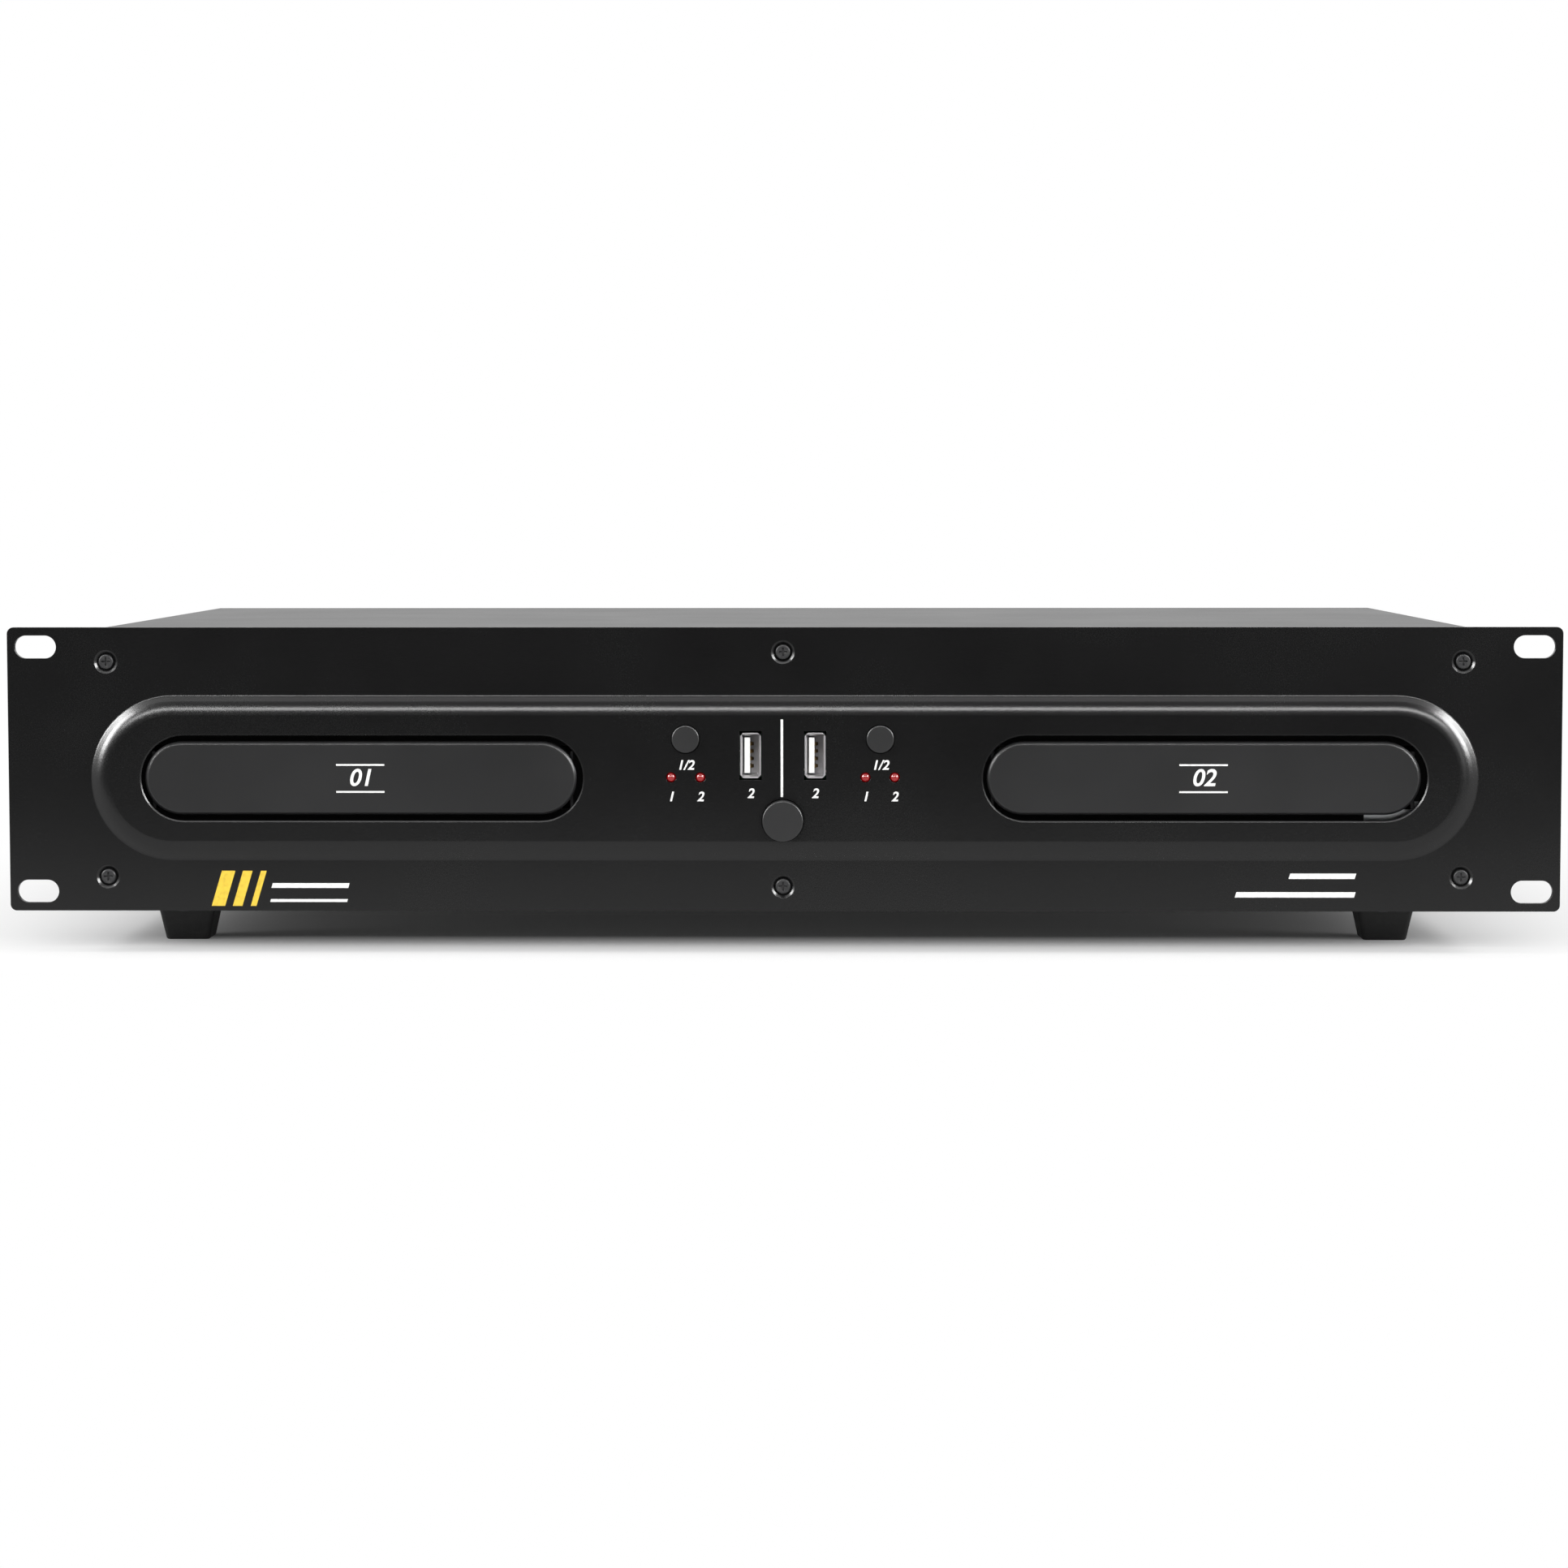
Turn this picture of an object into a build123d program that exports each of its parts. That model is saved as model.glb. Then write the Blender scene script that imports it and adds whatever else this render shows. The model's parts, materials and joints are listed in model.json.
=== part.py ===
from build123d import *
from math import acos, asin, atan, cos, degrees, pi, radians, sin, tan
import os

# Twin disc player for a 19 inch rack, two units high, in millimetres.
# +X runs to the right, the front panel looks along -Y and +Z is up.
# The origin lies under the middle of the whole player, at the height of the foot soles.
# A "depth" is a distance behind the face of the front panel.

os.makedirs("parts", exist_ok=True)

# ---- rack panel ----
panel_w = 482.6
panel_h = 88.4
panel_t = 2.0
panel_corner_r = 2.0
panel_lip = 0.5  # how far the panel hangs below the case
rack_slot_len = 13.0
rack_slot_w = 7.1
rack_slot_inset = 8.75  # slot centre from the panel's side edge
rack_slot_spacing = 76.2

# ---- raised plateau and what opens through it ----
plateau_len = 430.9
plateau_h = 51.0
plateau_rise = 2.5
plateau_slope = 35.0  # from the face of the panel
plateau_drop = 2.6  # plateau centre below the panel centre
plateau_edge_r = 7.5
plateau_foot_r = 1.0
tray_opening_edge = 0.4

# ---- case ----
case_side = 24.95  # panel ear beside the case
case_past_tray = 87.6  # case behind the closed trays
case_gap_top = 0.7  # cover below the panel's top edge
cover_t = 1.0
cover_bend_r = 1.5
sheet_t = 1.2
sheet_gap = 0.15
foot_h = 13.9
foot_top = 19.6
foot_sole = 14.0
foot_x = 192.6
foot_inset = 45.0  # foot centre from the front and back of the case
foot_corner_r = 1.6

# ---- screws: head radius, head height, shank radius ----
screw_head_r = 2.25
screw_head_h = 1.0
screw_shank_r = 1.45
screw_hole_r = 1.6
cross_len = 2.7
cross_w = 0.6
cross_depth = 0.7

# ---- disc drives ----
drive_spacing = 261.6
drive_shift = -0.4  # both drives sit this far off the middle of their openings
door_len = 134.4
door_h = 22.7
door_t = 4.0
door_end_gap = 1.55  # between the door's end and its opening
door_gap = 1.9  # above and below the door
door_recess = 0.2  # door face behind the plateau's face
door_edge = 0.8
disc_r = 60.0
small_disc_r = 40.0
tray_travel = 135.0
tray_w = 128.6
tray_kept = 31.3  # tray length that stays inside when it is fully out
disc_depth = 70.0
loader_end = 12.0  # loader frame behind the closed tray
run_gap = 0.3  # between a sliding piece and its guide
turn_gap = 0.06  # radial, between a shaft and its bore

# ---- reach past the rack panel and past the rear wall ----
power_button_proud = 5.0
jack_reach = 9.0

tray_opening_len = door_len + 2 * door_end_gap
tray_opening_h = door_h + 2 * door_gap
case_depth = tray_travel + tray_kept + case_past_tray
front_reach = plateau_rise + power_button_proud
overall_depth = front_reach + panel_t + case_depth + jack_reach
panel_y = front_reach - overall_depth / 2
base_z = foot_h
panel_z = base_z - panel_lip + panel_h / 2
plateau_z = panel_z - plateau_drop
case_w = panel_w - 2 * case_side
case_h = panel_h - panel_lip - case_gap_top
case_top = base_z + case_h
case_rear = panel_t + case_depth
base_w = case_w - 2 * (cover_t + sheet_gap)
floor_z = base_z + sheet_t


def depth(distance):
    # y of a place that lies this far behind the face of the front panel
    return panel_y + distance


def facing(distance):
    # upright plane that looks forward, this far behind the face of the front panel
    return Plane.XZ.offset(-depth(distance))


def block(left, right, front, back, low, high, mode=Mode.ADD):
    # box between two widths, two depths and two heights
    with Locations(((left + right) / 2, depth((front + back) / 2), (low + high) / 2)):
        Box(right - left, back - front, high - low, mode=mode)


def post(x, distance, low, high, radius, mode=Mode.ADD):
    # upright cylinder between two heights
    with Locations((x, depth(distance), (low + high) / 2)):
        Cylinder(radius, high - low, mode=mode)


def rod(x, z, front, back, radius, mode=Mode.ADD):
    # cylinder from front to back between two depths
    with Locations(Location((x, depth((front + back) / 2), z), (90, 0, 0))):
        Cylinder(radius, back - front, mode=mode)


def cross_head_screw(head_r, head_h, shank_r, shank_len):
    # screw along Z, its head's seat at the origin and its shank below
    with BuildPart() as screw:
        with BuildSketch(Plane.XY):
            Circle(head_r)
        extrude(amount=head_h)
        fillet(screw.edges().sort_by(Axis.Z)[-1], head_h * 0.4)
        with BuildSketch(Plane.XY):
            Circle(shank_r)
        extrude(amount=-shank_len)
        with BuildSketch(Plane.XY.offset(head_h)):
            Rectangle(cross_len, cross_w)
            Rectangle(cross_w, cross_len)
        extrude(amount=-cross_depth, mode=Mode.SUBTRACT)
    return screw.part


def save(part, name):
    part.label = name
    export_step(part, f"parts/{name}.step")


def save_drives(part, name):
    # one copy of a drive's piece for each of the two drives
    for side, x in drive_places.items():
        save(Pos(x, 0, 0) * part, f"{name}_{side}")


drive_places = {
    "left": drive_shift - drive_spacing / 2,
    "right": drive_shift + drive_spacing / 2,
}
opening_places = [(side * drive_spacing / 2, plateau_z) for side in (-1, 1)]
plateau_front = -plateau_rise
plateau_back = panel_t - plateau_rise
subpanel_back = panel_t + sheet_t

# ======== front controls: sizes that the panel, the subpanel and the pieces share ========

panel_screw_x = 210.6
panel_screw_rise = panel_h / 2 - 10.7
middle_screw_rise = panel_h / 2 - 7.7
dimple_r = 3.65
dimple_depth = 1.0
dimple_slope = 50.0
panel_screw_places = [
    (x, panel_z + rise)
    for x, rise in (
        (-panel_screw_x, panel_screw_rise),
        (0, middle_screw_rise),
        (panel_screw_x, panel_screw_rise),
        (-panel_screw_x, -panel_screw_rise),
        (0, -middle_screw_rise),
        (panel_screw_x, -panel_screw_rise),
    )
]

mode_button_x = 30.2
mode_button_z = panel_z + 9.6
mode_button_r = 4.25
mode_button_proud = 1.0
mode_button_travel = 0.6
button_gap = 0.25
power_button_z = panel_z - 15.6
power_button_r = 6.3
power_button_gap = 0.4
power_button_travel = 1.5
led_r = 1.5
led_gap = 0.15
led_proud = 0.4
led_flange_r = 1.9
led_inner_x = 25.6
led_outer_x = 34.7
led_z = panel_z - 2.3
usb_x = 10.0
usb_z = panel_z + 4.5
usb_hole_w = 6.96
usb_hole_h = 15.26

led_places = [(x, led_z) for x in (-led_outer_x, -led_inner_x, led_inner_x, led_outer_x)]
mode_places = {"left": (-mode_button_x, mode_button_z), "right": (mode_button_x, mode_button_z)}
usb_places = [(-usb_x, usb_z), (usb_x, usb_z)]
power_place = (0, power_button_z)
rack_slot_x = panel_w / 2 - rack_slot_inset
rack_slot_places = [
    (side * rack_slot_x, panel_z + rise * rack_slot_spacing / 2)
    for side in (-1, 1)
    for rise in (-1, 1)
]

# ======== front panel ========

through = panel_t + plateau_rise + 2.0
wall_shift = panel_t * tan(radians(plateau_slope / 2))

with BuildPart() as front_panel:
    with BuildSketch(facing(0)):
        with Locations((0, panel_z)):
            RectangleRounded(panel_w, panel_h, panel_corner_r)
    extrude(amount=-panel_t)
    # plateau pressed forward out of the sheet
    with BuildSketch(facing(0)):
        with Locations((0, plateau_z)):
            SlotOverall(plateau_len, plateau_h)
    extrude(amount=plateau_rise, taper=90 - plateau_slope)
    rim = front_panel.edges().group_by(Axis.Y)[0]
    fillet(rim, plateau_edge_r)
    foot_line = front_panel.edges().filter_by(
        lambda edge: abs(edge.center().Y - depth(0)) < 0.01
        and abs(edge.center().X) < panel_w / 2 - 1
        and abs(edge.center().Z - plateau_z) < plateau_h / 2 + 0.1
    )
    fillet(foot_line, plateau_foot_r)
    # hollow behind the plateau, one sheet thickness inside its slope
    with BuildSketch(facing(panel_t)):
        with Locations((0, plateau_z)):
            SlotOverall(plateau_len - 2 * wall_shift, plateau_h - 2 * wall_shift)
    extrude(amount=plateau_rise, taper=90 - plateau_slope, mode=Mode.SUBTRACT)
    # tray openings with a broken front edge
    with BuildSketch(facing(plateau_front - 1)):
        with Locations(*opening_places):
            SlotOverall(tray_opening_len, tray_opening_h)
    extrude(amount=-through, mode=Mode.SUBTRACT)
    opening_rim = front_panel.edges().group_by(Axis.Y)[0].filter_by(
        lambda edge: abs(edge.center().Z - plateau_z) < tray_opening_h / 2 + 0.1
        and abs(edge.center().X) < plateau_len / 2 - plateau_h / 4
    )
    chamfer(opening_rim, tray_opening_edge)
    # round and rectangular holes of the controls
    with BuildSketch(facing(plateau_front - 1)):
        with Locations(*mode_places.values()):
            Circle(mode_button_r + button_gap)
        with Locations(power_place):
            Circle(power_button_r + power_button_gap)
        with Locations(*led_places):
            Circle(led_r + led_gap)
        with Locations(*usb_places):
            Rectangle(usb_hole_w, usb_hole_h)
    extrude(amount=-through, mode=Mode.SUBTRACT)
    # rack slots
    with BuildSketch(facing(0)):
        with Locations(*rack_slot_places):
            SlotOverall(rack_slot_len, rack_slot_w)
    extrude(amount=-panel_t, mode=Mode.SUBTRACT)
    # dimples and holes of the panel screws
    with BuildSketch(facing(0)):
        with Locations(*panel_screw_places):
            Circle(dimple_r)
    extrude(amount=-dimple_depth, taper=dimple_slope, mode=Mode.SUBTRACT)
    with BuildSketch(facing(0)):
        with Locations(*panel_screw_places):
            Circle(screw_hole_r)
    extrude(amount=-panel_t, mode=Mode.SUBTRACT)
save(front_panel.part, "front_panel")

# ======== panel screws ========

panel_screw_len = 7.0
panel_screw = cross_head_screw(screw_head_r, screw_head_h * 0.8, screw_shank_r, panel_screw_len)

with BuildPart() as panel_screws:
    with Locations(facing(dimple_depth)):
        with Locations(*panel_screw_places):
            add(panel_screw)
save(panel_screws.part, "panel_screws")

# ======== tray levels that the subpanel and the drives share ========

tray_z = plateau_z
tray_top = tray_z + 0.5
tray_bottom = tray_z - 4.0
tray_lug_low = tray_z - 8.6
door_front = plateau_front + door_recess
door_back = door_front + door_t
tray_front = door_back
tray_rear = tray_front + tray_travel + tray_kept
loader_rear = tray_rear + loader_end
tray_slot_w = tray_w + 3.0
tray_slot_low = tray_z - 10.0
tray_slot_high = tray_z + 10.0

# ======== front subpanel ========

board_w = 100.0
board_h = 47.0
board_t = 1.6
board_depth = 9.0  # front face of the control board
board_z = panel_z - 4.5
board_screw_inset = 5.0
window_w = 80.0
window_h = 38.0
subpanel_low = floor_z + sheet_gap
subpanel_high = case_top - cover_t - sheet_gap
board_screw_places = [
    (
        side * (board_w / 2 - board_screw_inset),
        board_z + rise * (board_h / 2 - board_screw_inset),
    )
    for side in (-1, 1)
    for rise in (-1, 1)
]

with BuildPart() as front_subpanel:
    block(-base_w / 2, base_w / 2, panel_t, subpanel_back, subpanel_low, subpanel_high)
    for x in drive_places.values():
        block(
            x - tray_slot_w / 2, x + tray_slot_w / 2, panel_t, subpanel_back,
            tray_slot_low, tray_slot_high, mode=Mode.SUBTRACT,
        )
    block(
        -window_w / 2, window_w / 2, panel_t, subpanel_back,
        board_z - window_h / 2, board_z + window_h / 2, mode=Mode.SUBTRACT,
    )
    with Locations(facing(panel_t)):
        with Locations(*panel_screw_places, *board_screw_places):
            Hole(screw_hole_r)
save(front_subpanel.part, "front_subpanel")

# ======== chassis base: floor, front and side flanges, rear wall ========

flange_h = 14.0
front_flange_h = 10.0
wall_front = case_rear - sheet_t
wall_high = case_top - cover_t - sheet_gap
leg_x = 58.0
leg_front = 14.0
leg_rear = loader_rear - 10.0
leg_r = 4.5
leg_pilot_r = 1.2
foot_depths = (panel_t + foot_inset, case_rear - foot_inset)
foot_places = [(side * foot_x, depth(d)) for side in (-1, 1) for d in foot_depths]
leg_places = [
    (x + side * leg_x, depth(d))
    for x in drive_places.values()
    for side in (-1, 1)
    for d in (leg_front, leg_rear)
]

# rear connectors
inlet_x = 165.0
inlet_z = base_z + 40.0
inlet_body_w = 27.0
inlet_body_h = 19.6
jack_z = base_z + 26.0
jack_places = [(x, jack_z) for x in (-54.0, -38.0, -16.0, 0.0)]
socket_places = [(x, jack_z) for x in (22.0, 46.0)]
jack_boss_r = 5.2
socket_boss_r = 6.6
connector_gap = 0.3

# vents in the rear wall
vent_len = 22.0
vent_w = 3.0
vent_pitch = 7.0
vent_columns = 5
vent_z = base_z + 60.0

# side screws of the cover
cover_screw_rise = 7.0
cover_screw_depths = (panel_t + 20.0, panel_t + case_depth / 2, case_rear - 20.0)
rear_screw_x = 180.0
rear_screw_rise = case_h - 11.2

# main board in the middle of the floor
main_w = 124.0
main_front = 96.0
main_rear = wall_front - 1.0
main_t = 1.6
main_lift = 8.0
main_screw_inset = 5.0
main_z = floor_z + main_lift
main_screw_places = [
    (side * (main_w / 2 - main_screw_inset), depth(d))
    for side in (-1, 1)
    for d in (main_front + main_screw_inset, main_rear - 3 * main_screw_inset)
]

# transformer behind the right drive
transformer_x = 112.0
transformer_depth = loader_rear + 36.0
core_w = 56.0
core_depth = 24.0
core_h = 46.0
core_foot_w = 74.0
core_foot_t = 1.6
core_bolt_x = 32.0
transformer_bolts = [(transformer_x + side * core_bolt_x, depth(transformer_depth)) for side in (-1, 1)]

with BuildPart() as chassis_base:
    block(-base_w / 2, base_w / 2, subpanel_back, case_rear, base_z, floor_z)
    block(-base_w / 2, base_w / 2, wall_front, case_rear, base_z, wall_high)
    for side in (-1, 1):
        inner = side * (base_w / 2 - sheet_t)
        outer = side * base_w / 2
        block(
            min(inner, outer), max(inner, outer), subpanel_back, case_rear,
            base_z, base_z + flange_h,
        )
    block(-base_w / 2, base_w / 2, subpanel_back, subpanel_back + sheet_t, base_z, base_z + front_flange_h)
    # screw holes in the floor
    with BuildSketch(Plane.XY.offset(base_z)):
        with Locations(*foot_places, *leg_places, *main_screw_places, *transformer_bolts):
            Circle(screw_hole_r)
    extrude(amount=sheet_t, mode=Mode.SUBTRACT)
    # connector cut-outs, rear cover screws and vents in the rear wall
    with BuildSketch(facing(case_rear)):
        with Locations((inlet_x, inlet_z)):
            Rectangle(inlet_body_w + 2 * connector_gap, inlet_body_h + 2 * connector_gap)
        with Locations(*jack_places):
            Circle(jack_boss_r + connector_gap)
        with Locations(*socket_places):
            Circle(socket_boss_r + connector_gap)
        with Locations((-rear_screw_x, base_z + rear_screw_rise), (rear_screw_x, base_z + rear_screw_rise)):
            Circle(screw_hole_r)
        with Locations((-drive_spacing / 2, vent_z), (drive_spacing / 2 - vent_len, vent_z)):
            with GridLocations(vent_len + vent_pitch, vent_pitch, 2, vent_columns):
                SlotOverall(vent_len, vent_w)
    extrude(amount=sheet_t, mode=Mode.SUBTRACT)
    # front flange holes under the subpanel's lower screws
    with BuildSketch(facing(subpanel_back)):
        with Locations(*[place for place in panel_screw_places if place[1] < panel_z]):
            Circle(screw_hole_r)
    extrude(amount=-sheet_t, mode=Mode.SUBTRACT)
    # side screw holes
    with BuildSketch(Plane.YZ.offset(-base_w / 2)):
        with Locations(*[(depth(d), base_z + cover_screw_rise) for d in cover_screw_depths]):
            Circle(screw_hole_r)
    extrude(amount=base_w, mode=Mode.SUBTRACT)
save(chassis_base.part, "chassis_base")

# ======== top cover ========

rear_lip_h = 14.0

with BuildPart() as top_cover:
    with BuildSketch(facing(panel_t)):
        with Locations((0, base_z + case_h / 2)):
            Rectangle(case_w, case_h)
    extrude(amount=-case_depth)
    bends = top_cover.edges().filter_by(Axis.Y).group_by(Axis.Z)[-1]
    fillet(bends, cover_bend_r)
    block(
        -case_w / 2 + cover_t, case_w / 2 - cover_t, panel_t, case_rear,
        base_z, case_top - cover_t, mode=Mode.SUBTRACT,
    )
    # lip folded down behind the rear wall
    block(
        -base_w / 2 + cover_bend_r, base_w / 2 - cover_bend_r, case_rear, case_rear + cover_t,
        case_top - rear_lip_h, case_top,
    )
    lip_edge = top_cover.edges().filter_by(Axis.X).group_by(Axis.Z)[-1].sort_by(Axis.Y)[-1]
    fillet(lip_edge, cover_t * 0.9)
    with BuildSketch(facing(case_rear)):
        with Locations((-rear_screw_x, base_z + rear_screw_rise), (rear_screw_x, base_z + rear_screw_rise)):
            Circle(screw_hole_r)
    extrude(amount=-cover_t, mode=Mode.SUBTRACT)
    with BuildSketch(Plane.YZ.offset(-case_w / 2)):
        with Locations(*[(depth(d), base_z + cover_screw_rise) for d in cover_screw_depths]):
            Circle(screw_hole_r)
    extrude(amount=case_w, mode=Mode.SUBTRACT)
save(top_cover.part, "top_cover")

# ======== cover screws: three on each side and two behind ========

cover_screw_len = 6.0
cover_screw_head_r = 2.9
cover_screw_head_h = 1.8
cover_screw = cross_head_screw(cover_screw_head_r, cover_screw_head_h, screw_shank_r, cover_screw_len)

with BuildPart() as cover_screws:
    for d in cover_screw_depths:
        with Locations(
            Location((-case_w / 2, depth(d), base_z + cover_screw_rise), (0, -90, 0)),
            Location((case_w / 2, depth(d), base_z + cover_screw_rise), (0, 90, 0)),
        ):
            add(cover_screw)
    for side in (-1, 1):
        with Locations(
            Location((side * rear_screw_x, depth(case_rear + cover_t), base_z + rear_screw_rise), (-90, 0, 0))
        ):
            add(cover_screw)
save(cover_screws.part, "cover_screws")

# ======== feet ========

foot_recess_r = 4.0
foot_recess_h = 7.0

with BuildPart() as foot:
    with BuildSketch(Plane.XY):
        RectangleRounded(foot_sole, foot_sole, foot_corner_r)
    with BuildSketch(Plane.XY.offset(foot_h)):
        RectangleRounded(foot_top, foot_top, foot_corner_r)
    loft()
    fillet(foot.edges().group_by(Axis.Z)[0], foot_corner_r / 2)
    with Locations((0, 0, 0)):
        Cylinder(
            foot_recess_r, foot_recess_h,
            align=(Align.CENTER, Align.CENTER, Align.MIN), mode=Mode.SUBTRACT,
        )
        Cylinder(
            screw_hole_r, foot_h,
            align=(Align.CENTER, Align.CENTER, Align.MIN), mode=Mode.SUBTRACT,
        )

with BuildPart() as feet:
    with Locations(*foot_places):
        add(foot.part)
save(feet.part, "feet")

# ======== screws from below: one in each foot and one in each drive leg ========

foot_screw_len = foot_h - foot_recess_h + sheet_t + 3.0
leg_screw_len = sheet_t + 8.0
low_head_r = 2.8
low_head_h = 1.8
leg_screw_r = 1.15
foot_screw = cross_head_screw(low_head_r, low_head_h, screw_shank_r, foot_screw_len)
leg_screw = cross_head_screw(low_head_r, low_head_h, leg_screw_r, leg_screw_len)

with BuildPart() as chassis_screws:
    for x, y in foot_places:
        with Locations(Location((x, y, foot_recess_h), (180, 0, 0))):
            add(foot_screw)
    for x, y in leg_places:
        with Locations(Location((x, y, base_z), (180, 0, 0))):
            add(leg_screw)
save(chassis_screws.part, "chassis_screws")

# ======== control board behind the panel ========

with BuildPart() as control_board:
    block(
        -board_w / 2, board_w / 2, board_depth, board_depth + board_t,
        board_z - board_h / 2, board_z + board_h / 2,
    )
    with Locations(facing(board_depth)):
        with Locations(*board_screw_places):
            Hole(screw_hole_r)
save(control_board.part, "control_board")

# ======== USB sockets: shells, tongues and contacts ========

usb_w = 5.7
usb_h = 13.1
usb_wall = 0.4
usb_lip_w = 6.5
usb_lip_h = 14.1
usb_lip_depth = 0.9
usb_front = plateau_front + 0.15
usb_back = board_depth
usb_back_wall = 1.0
lip_back = usb_front + usb_lip_depth
lip_notch = 1.5
tongue_w = 1.7
tongue_h = 11.0
tongue_gap = 0.55
tongue_front = usb_front + 1.2
contact_t = 0.2
contact_h = 1.1
contact_pitch = 2.3
contact_front = tongue_front + 0.5

with BuildPart() as usb_shell:
    with BuildSketch(facing(lip_back)):
        Rectangle(usb_w, usb_h)
    with BuildSketch(facing(usb_front)):
        Rectangle(usb_lip_w, usb_lip_h)
    loft()
    with BuildSketch(facing(lip_back)):
        Rectangle(usb_w, usb_h)
    extrude(amount=-(usb_back - lip_back))
    # funnel mouth and straight cavity
    with BuildSketch(facing(lip_back)):
        Rectangle(usb_w - 2 * usb_wall, usb_h - 2 * usb_wall)
    with BuildSketch(facing(usb_front)):
        Rectangle(usb_lip_w - 2 * usb_wall, usb_lip_h - 2 * usb_wall)
    loft(mode=Mode.SUBTRACT)
    with BuildSketch(facing(lip_back)):
        Rectangle(usb_w - 2 * usb_wall, usb_h - 2 * usb_wall)
    extrude(amount=-(usb_back - usb_back_wall - lip_back), mode=Mode.SUBTRACT)
    # the lip's four flaps part at the corners
    with BuildSketch(facing(usb_front)):
        with GridLocations(usb_lip_w, usb_lip_h, 2, 2):
            Rectangle(lip_notch, lip_notch, rotation=45)
    extrude(amount=-usb_lip_depth, mode=Mode.SUBTRACT)

with BuildPart() as usb_shells:
    for x, z in usb_places:
        with Locations((x, 0, z)):
            add(usb_shell.part)
save(usb_shells.part, "usb_shells")

tongue_left = -usb_w / 2 + usb_wall + tongue_gap
tongue_right = tongue_left + tongue_w
cavity_back = usb_back - usb_back_wall

with BuildPart() as usb_tongues:
    for x, z in usb_places:
        block(
            x + tongue_left, x + tongue_right, tongue_front, cavity_back,
            z - tongue_h / 2, z + tongue_h / 2,
        )
save(usb_tongues.part, "usb_tongues")

with BuildPart() as usb_contacts:
    for x, z in usb_places:
        for row in range(4):
            contact_z = z + (row - 1.5) * contact_pitch
            block(
                x + tongue_right, x + tongue_right + contact_t, contact_front, cavity_back,
                contact_z - contact_h / 2, contact_z + contact_h / 2,
            )
save(usb_contacts.part, "usb_contacts")

# ======== indicator lamps ========

led_flange_t = 1.0

with BuildPart() as led_lenses:
    for x, z in led_places:
        rod(x, z, plateau_front - led_proud + led_r, board_depth, led_r)
        with Locations((x, depth(plateau_front - led_proud + led_r), z)):
            Sphere(led_r)
        rod(x, z, board_depth - led_flange_t, board_depth, led_flange_r)
save(led_lenses.part, "led_lenses")

# ======== push buttons and the switches behind them ========

button_flange = 1.2  # flange radius past the cap
button_flange_t = 1.0
button_edge = 0.35
stem_r = 2.0
switch_w = 6.0
switch_t = 3.5
plunger_r = 1.7
plunger_len = 1.0
power_switch_w = 9.0
power_switch_t = 5.0
power_plunger_r = 2.5
press_gap = 0.1  # left between stem and plunger when fully pressed

button_flange_front = plateau_back + run_gap
plunger_tip = board_depth - switch_t - plunger_len
stem_end = plunger_tip - mode_button_travel - press_gap
power_flange_back = button_flange_front + button_flange_t
power_plunger_tip = power_flange_back + power_button_travel + press_gap


def push_button(x, z, radius, proud, stem_back):
    # round cap with a retaining flange behind the panel and a stem towards its switch
    front = plateau_front - proud
    with BuildPart() as button:
        rod(x, z, front, button_flange_front, radius)
        fillet(button.edges().group_by(Axis.Y)[0], button_edge)
        rod(x, z, button_flange_front, power_flange_back, radius + button_flange)
        if stem_back > power_flange_back:
            rod(x, z, power_flange_back, stem_back, stem_r)
    return button.part


for side, place in mode_places.items():
    mode_button = push_button(*place, mode_button_r, mode_button_proud, stem_end)
    save(mode_button, f"mode_button_{side}")

power_button = push_button(*power_place, power_button_r, power_button_proud, power_flange_back)
save(power_button, "power_button")

with BuildPart() as key_switches:
    for x, z in mode_places.values():
        block(
            x - switch_w / 2, x + switch_w / 2, board_depth - switch_t, board_depth,
            z - switch_w / 2, z + switch_w / 2,
        )
        rod(x, z, plunger_tip, board_depth - switch_t, plunger_r)
    x, z = power_place
    block(
        x - power_switch_w / 2, x + power_switch_w / 2, board_depth - power_switch_t, board_depth,
        z - power_switch_w / 2, z + power_switch_w / 2,
    )
    rod(x, z, power_plunger_tip, board_depth - power_switch_t, power_plunger_r)
save(key_switches.part, "key_switches")

# ======== main board, its spacers and its components ========

with BuildPart() as main_board:
    block(-main_w / 2, main_w / 2, main_front, main_rear, main_z, main_z + main_t)
    with BuildSketch(Plane.XY.offset(main_z)):
        with Locations(*main_screw_places):
            Circle(screw_hole_r)
    extrude(amount=main_t, mode=Mode.SUBTRACT)
save(main_board.part, "main_board")

spacer_r = 3.2
spacer_pin_r = 1.5
board_top = main_z + main_t

with BuildPart() as board_spacers:
    for x, y in main_screw_places:
        with Locations((x, y, floor_z)):
            Cylinder(spacer_r, main_lift, align=(Align.CENTER, Align.CENTER, Align.MIN))
            Cylinder(spacer_pin_r, main_lift + main_t, align=(Align.CENTER, Align.CENTER, Align.MIN))
    for x, z in board_screw_places:
        rod(x, z, subpanel_back, board_depth, spacer_r)
        rod(x, z, panel_t, board_depth + board_t, spacer_pin_r)
save(board_spacers.part, "board_spacers")

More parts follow.
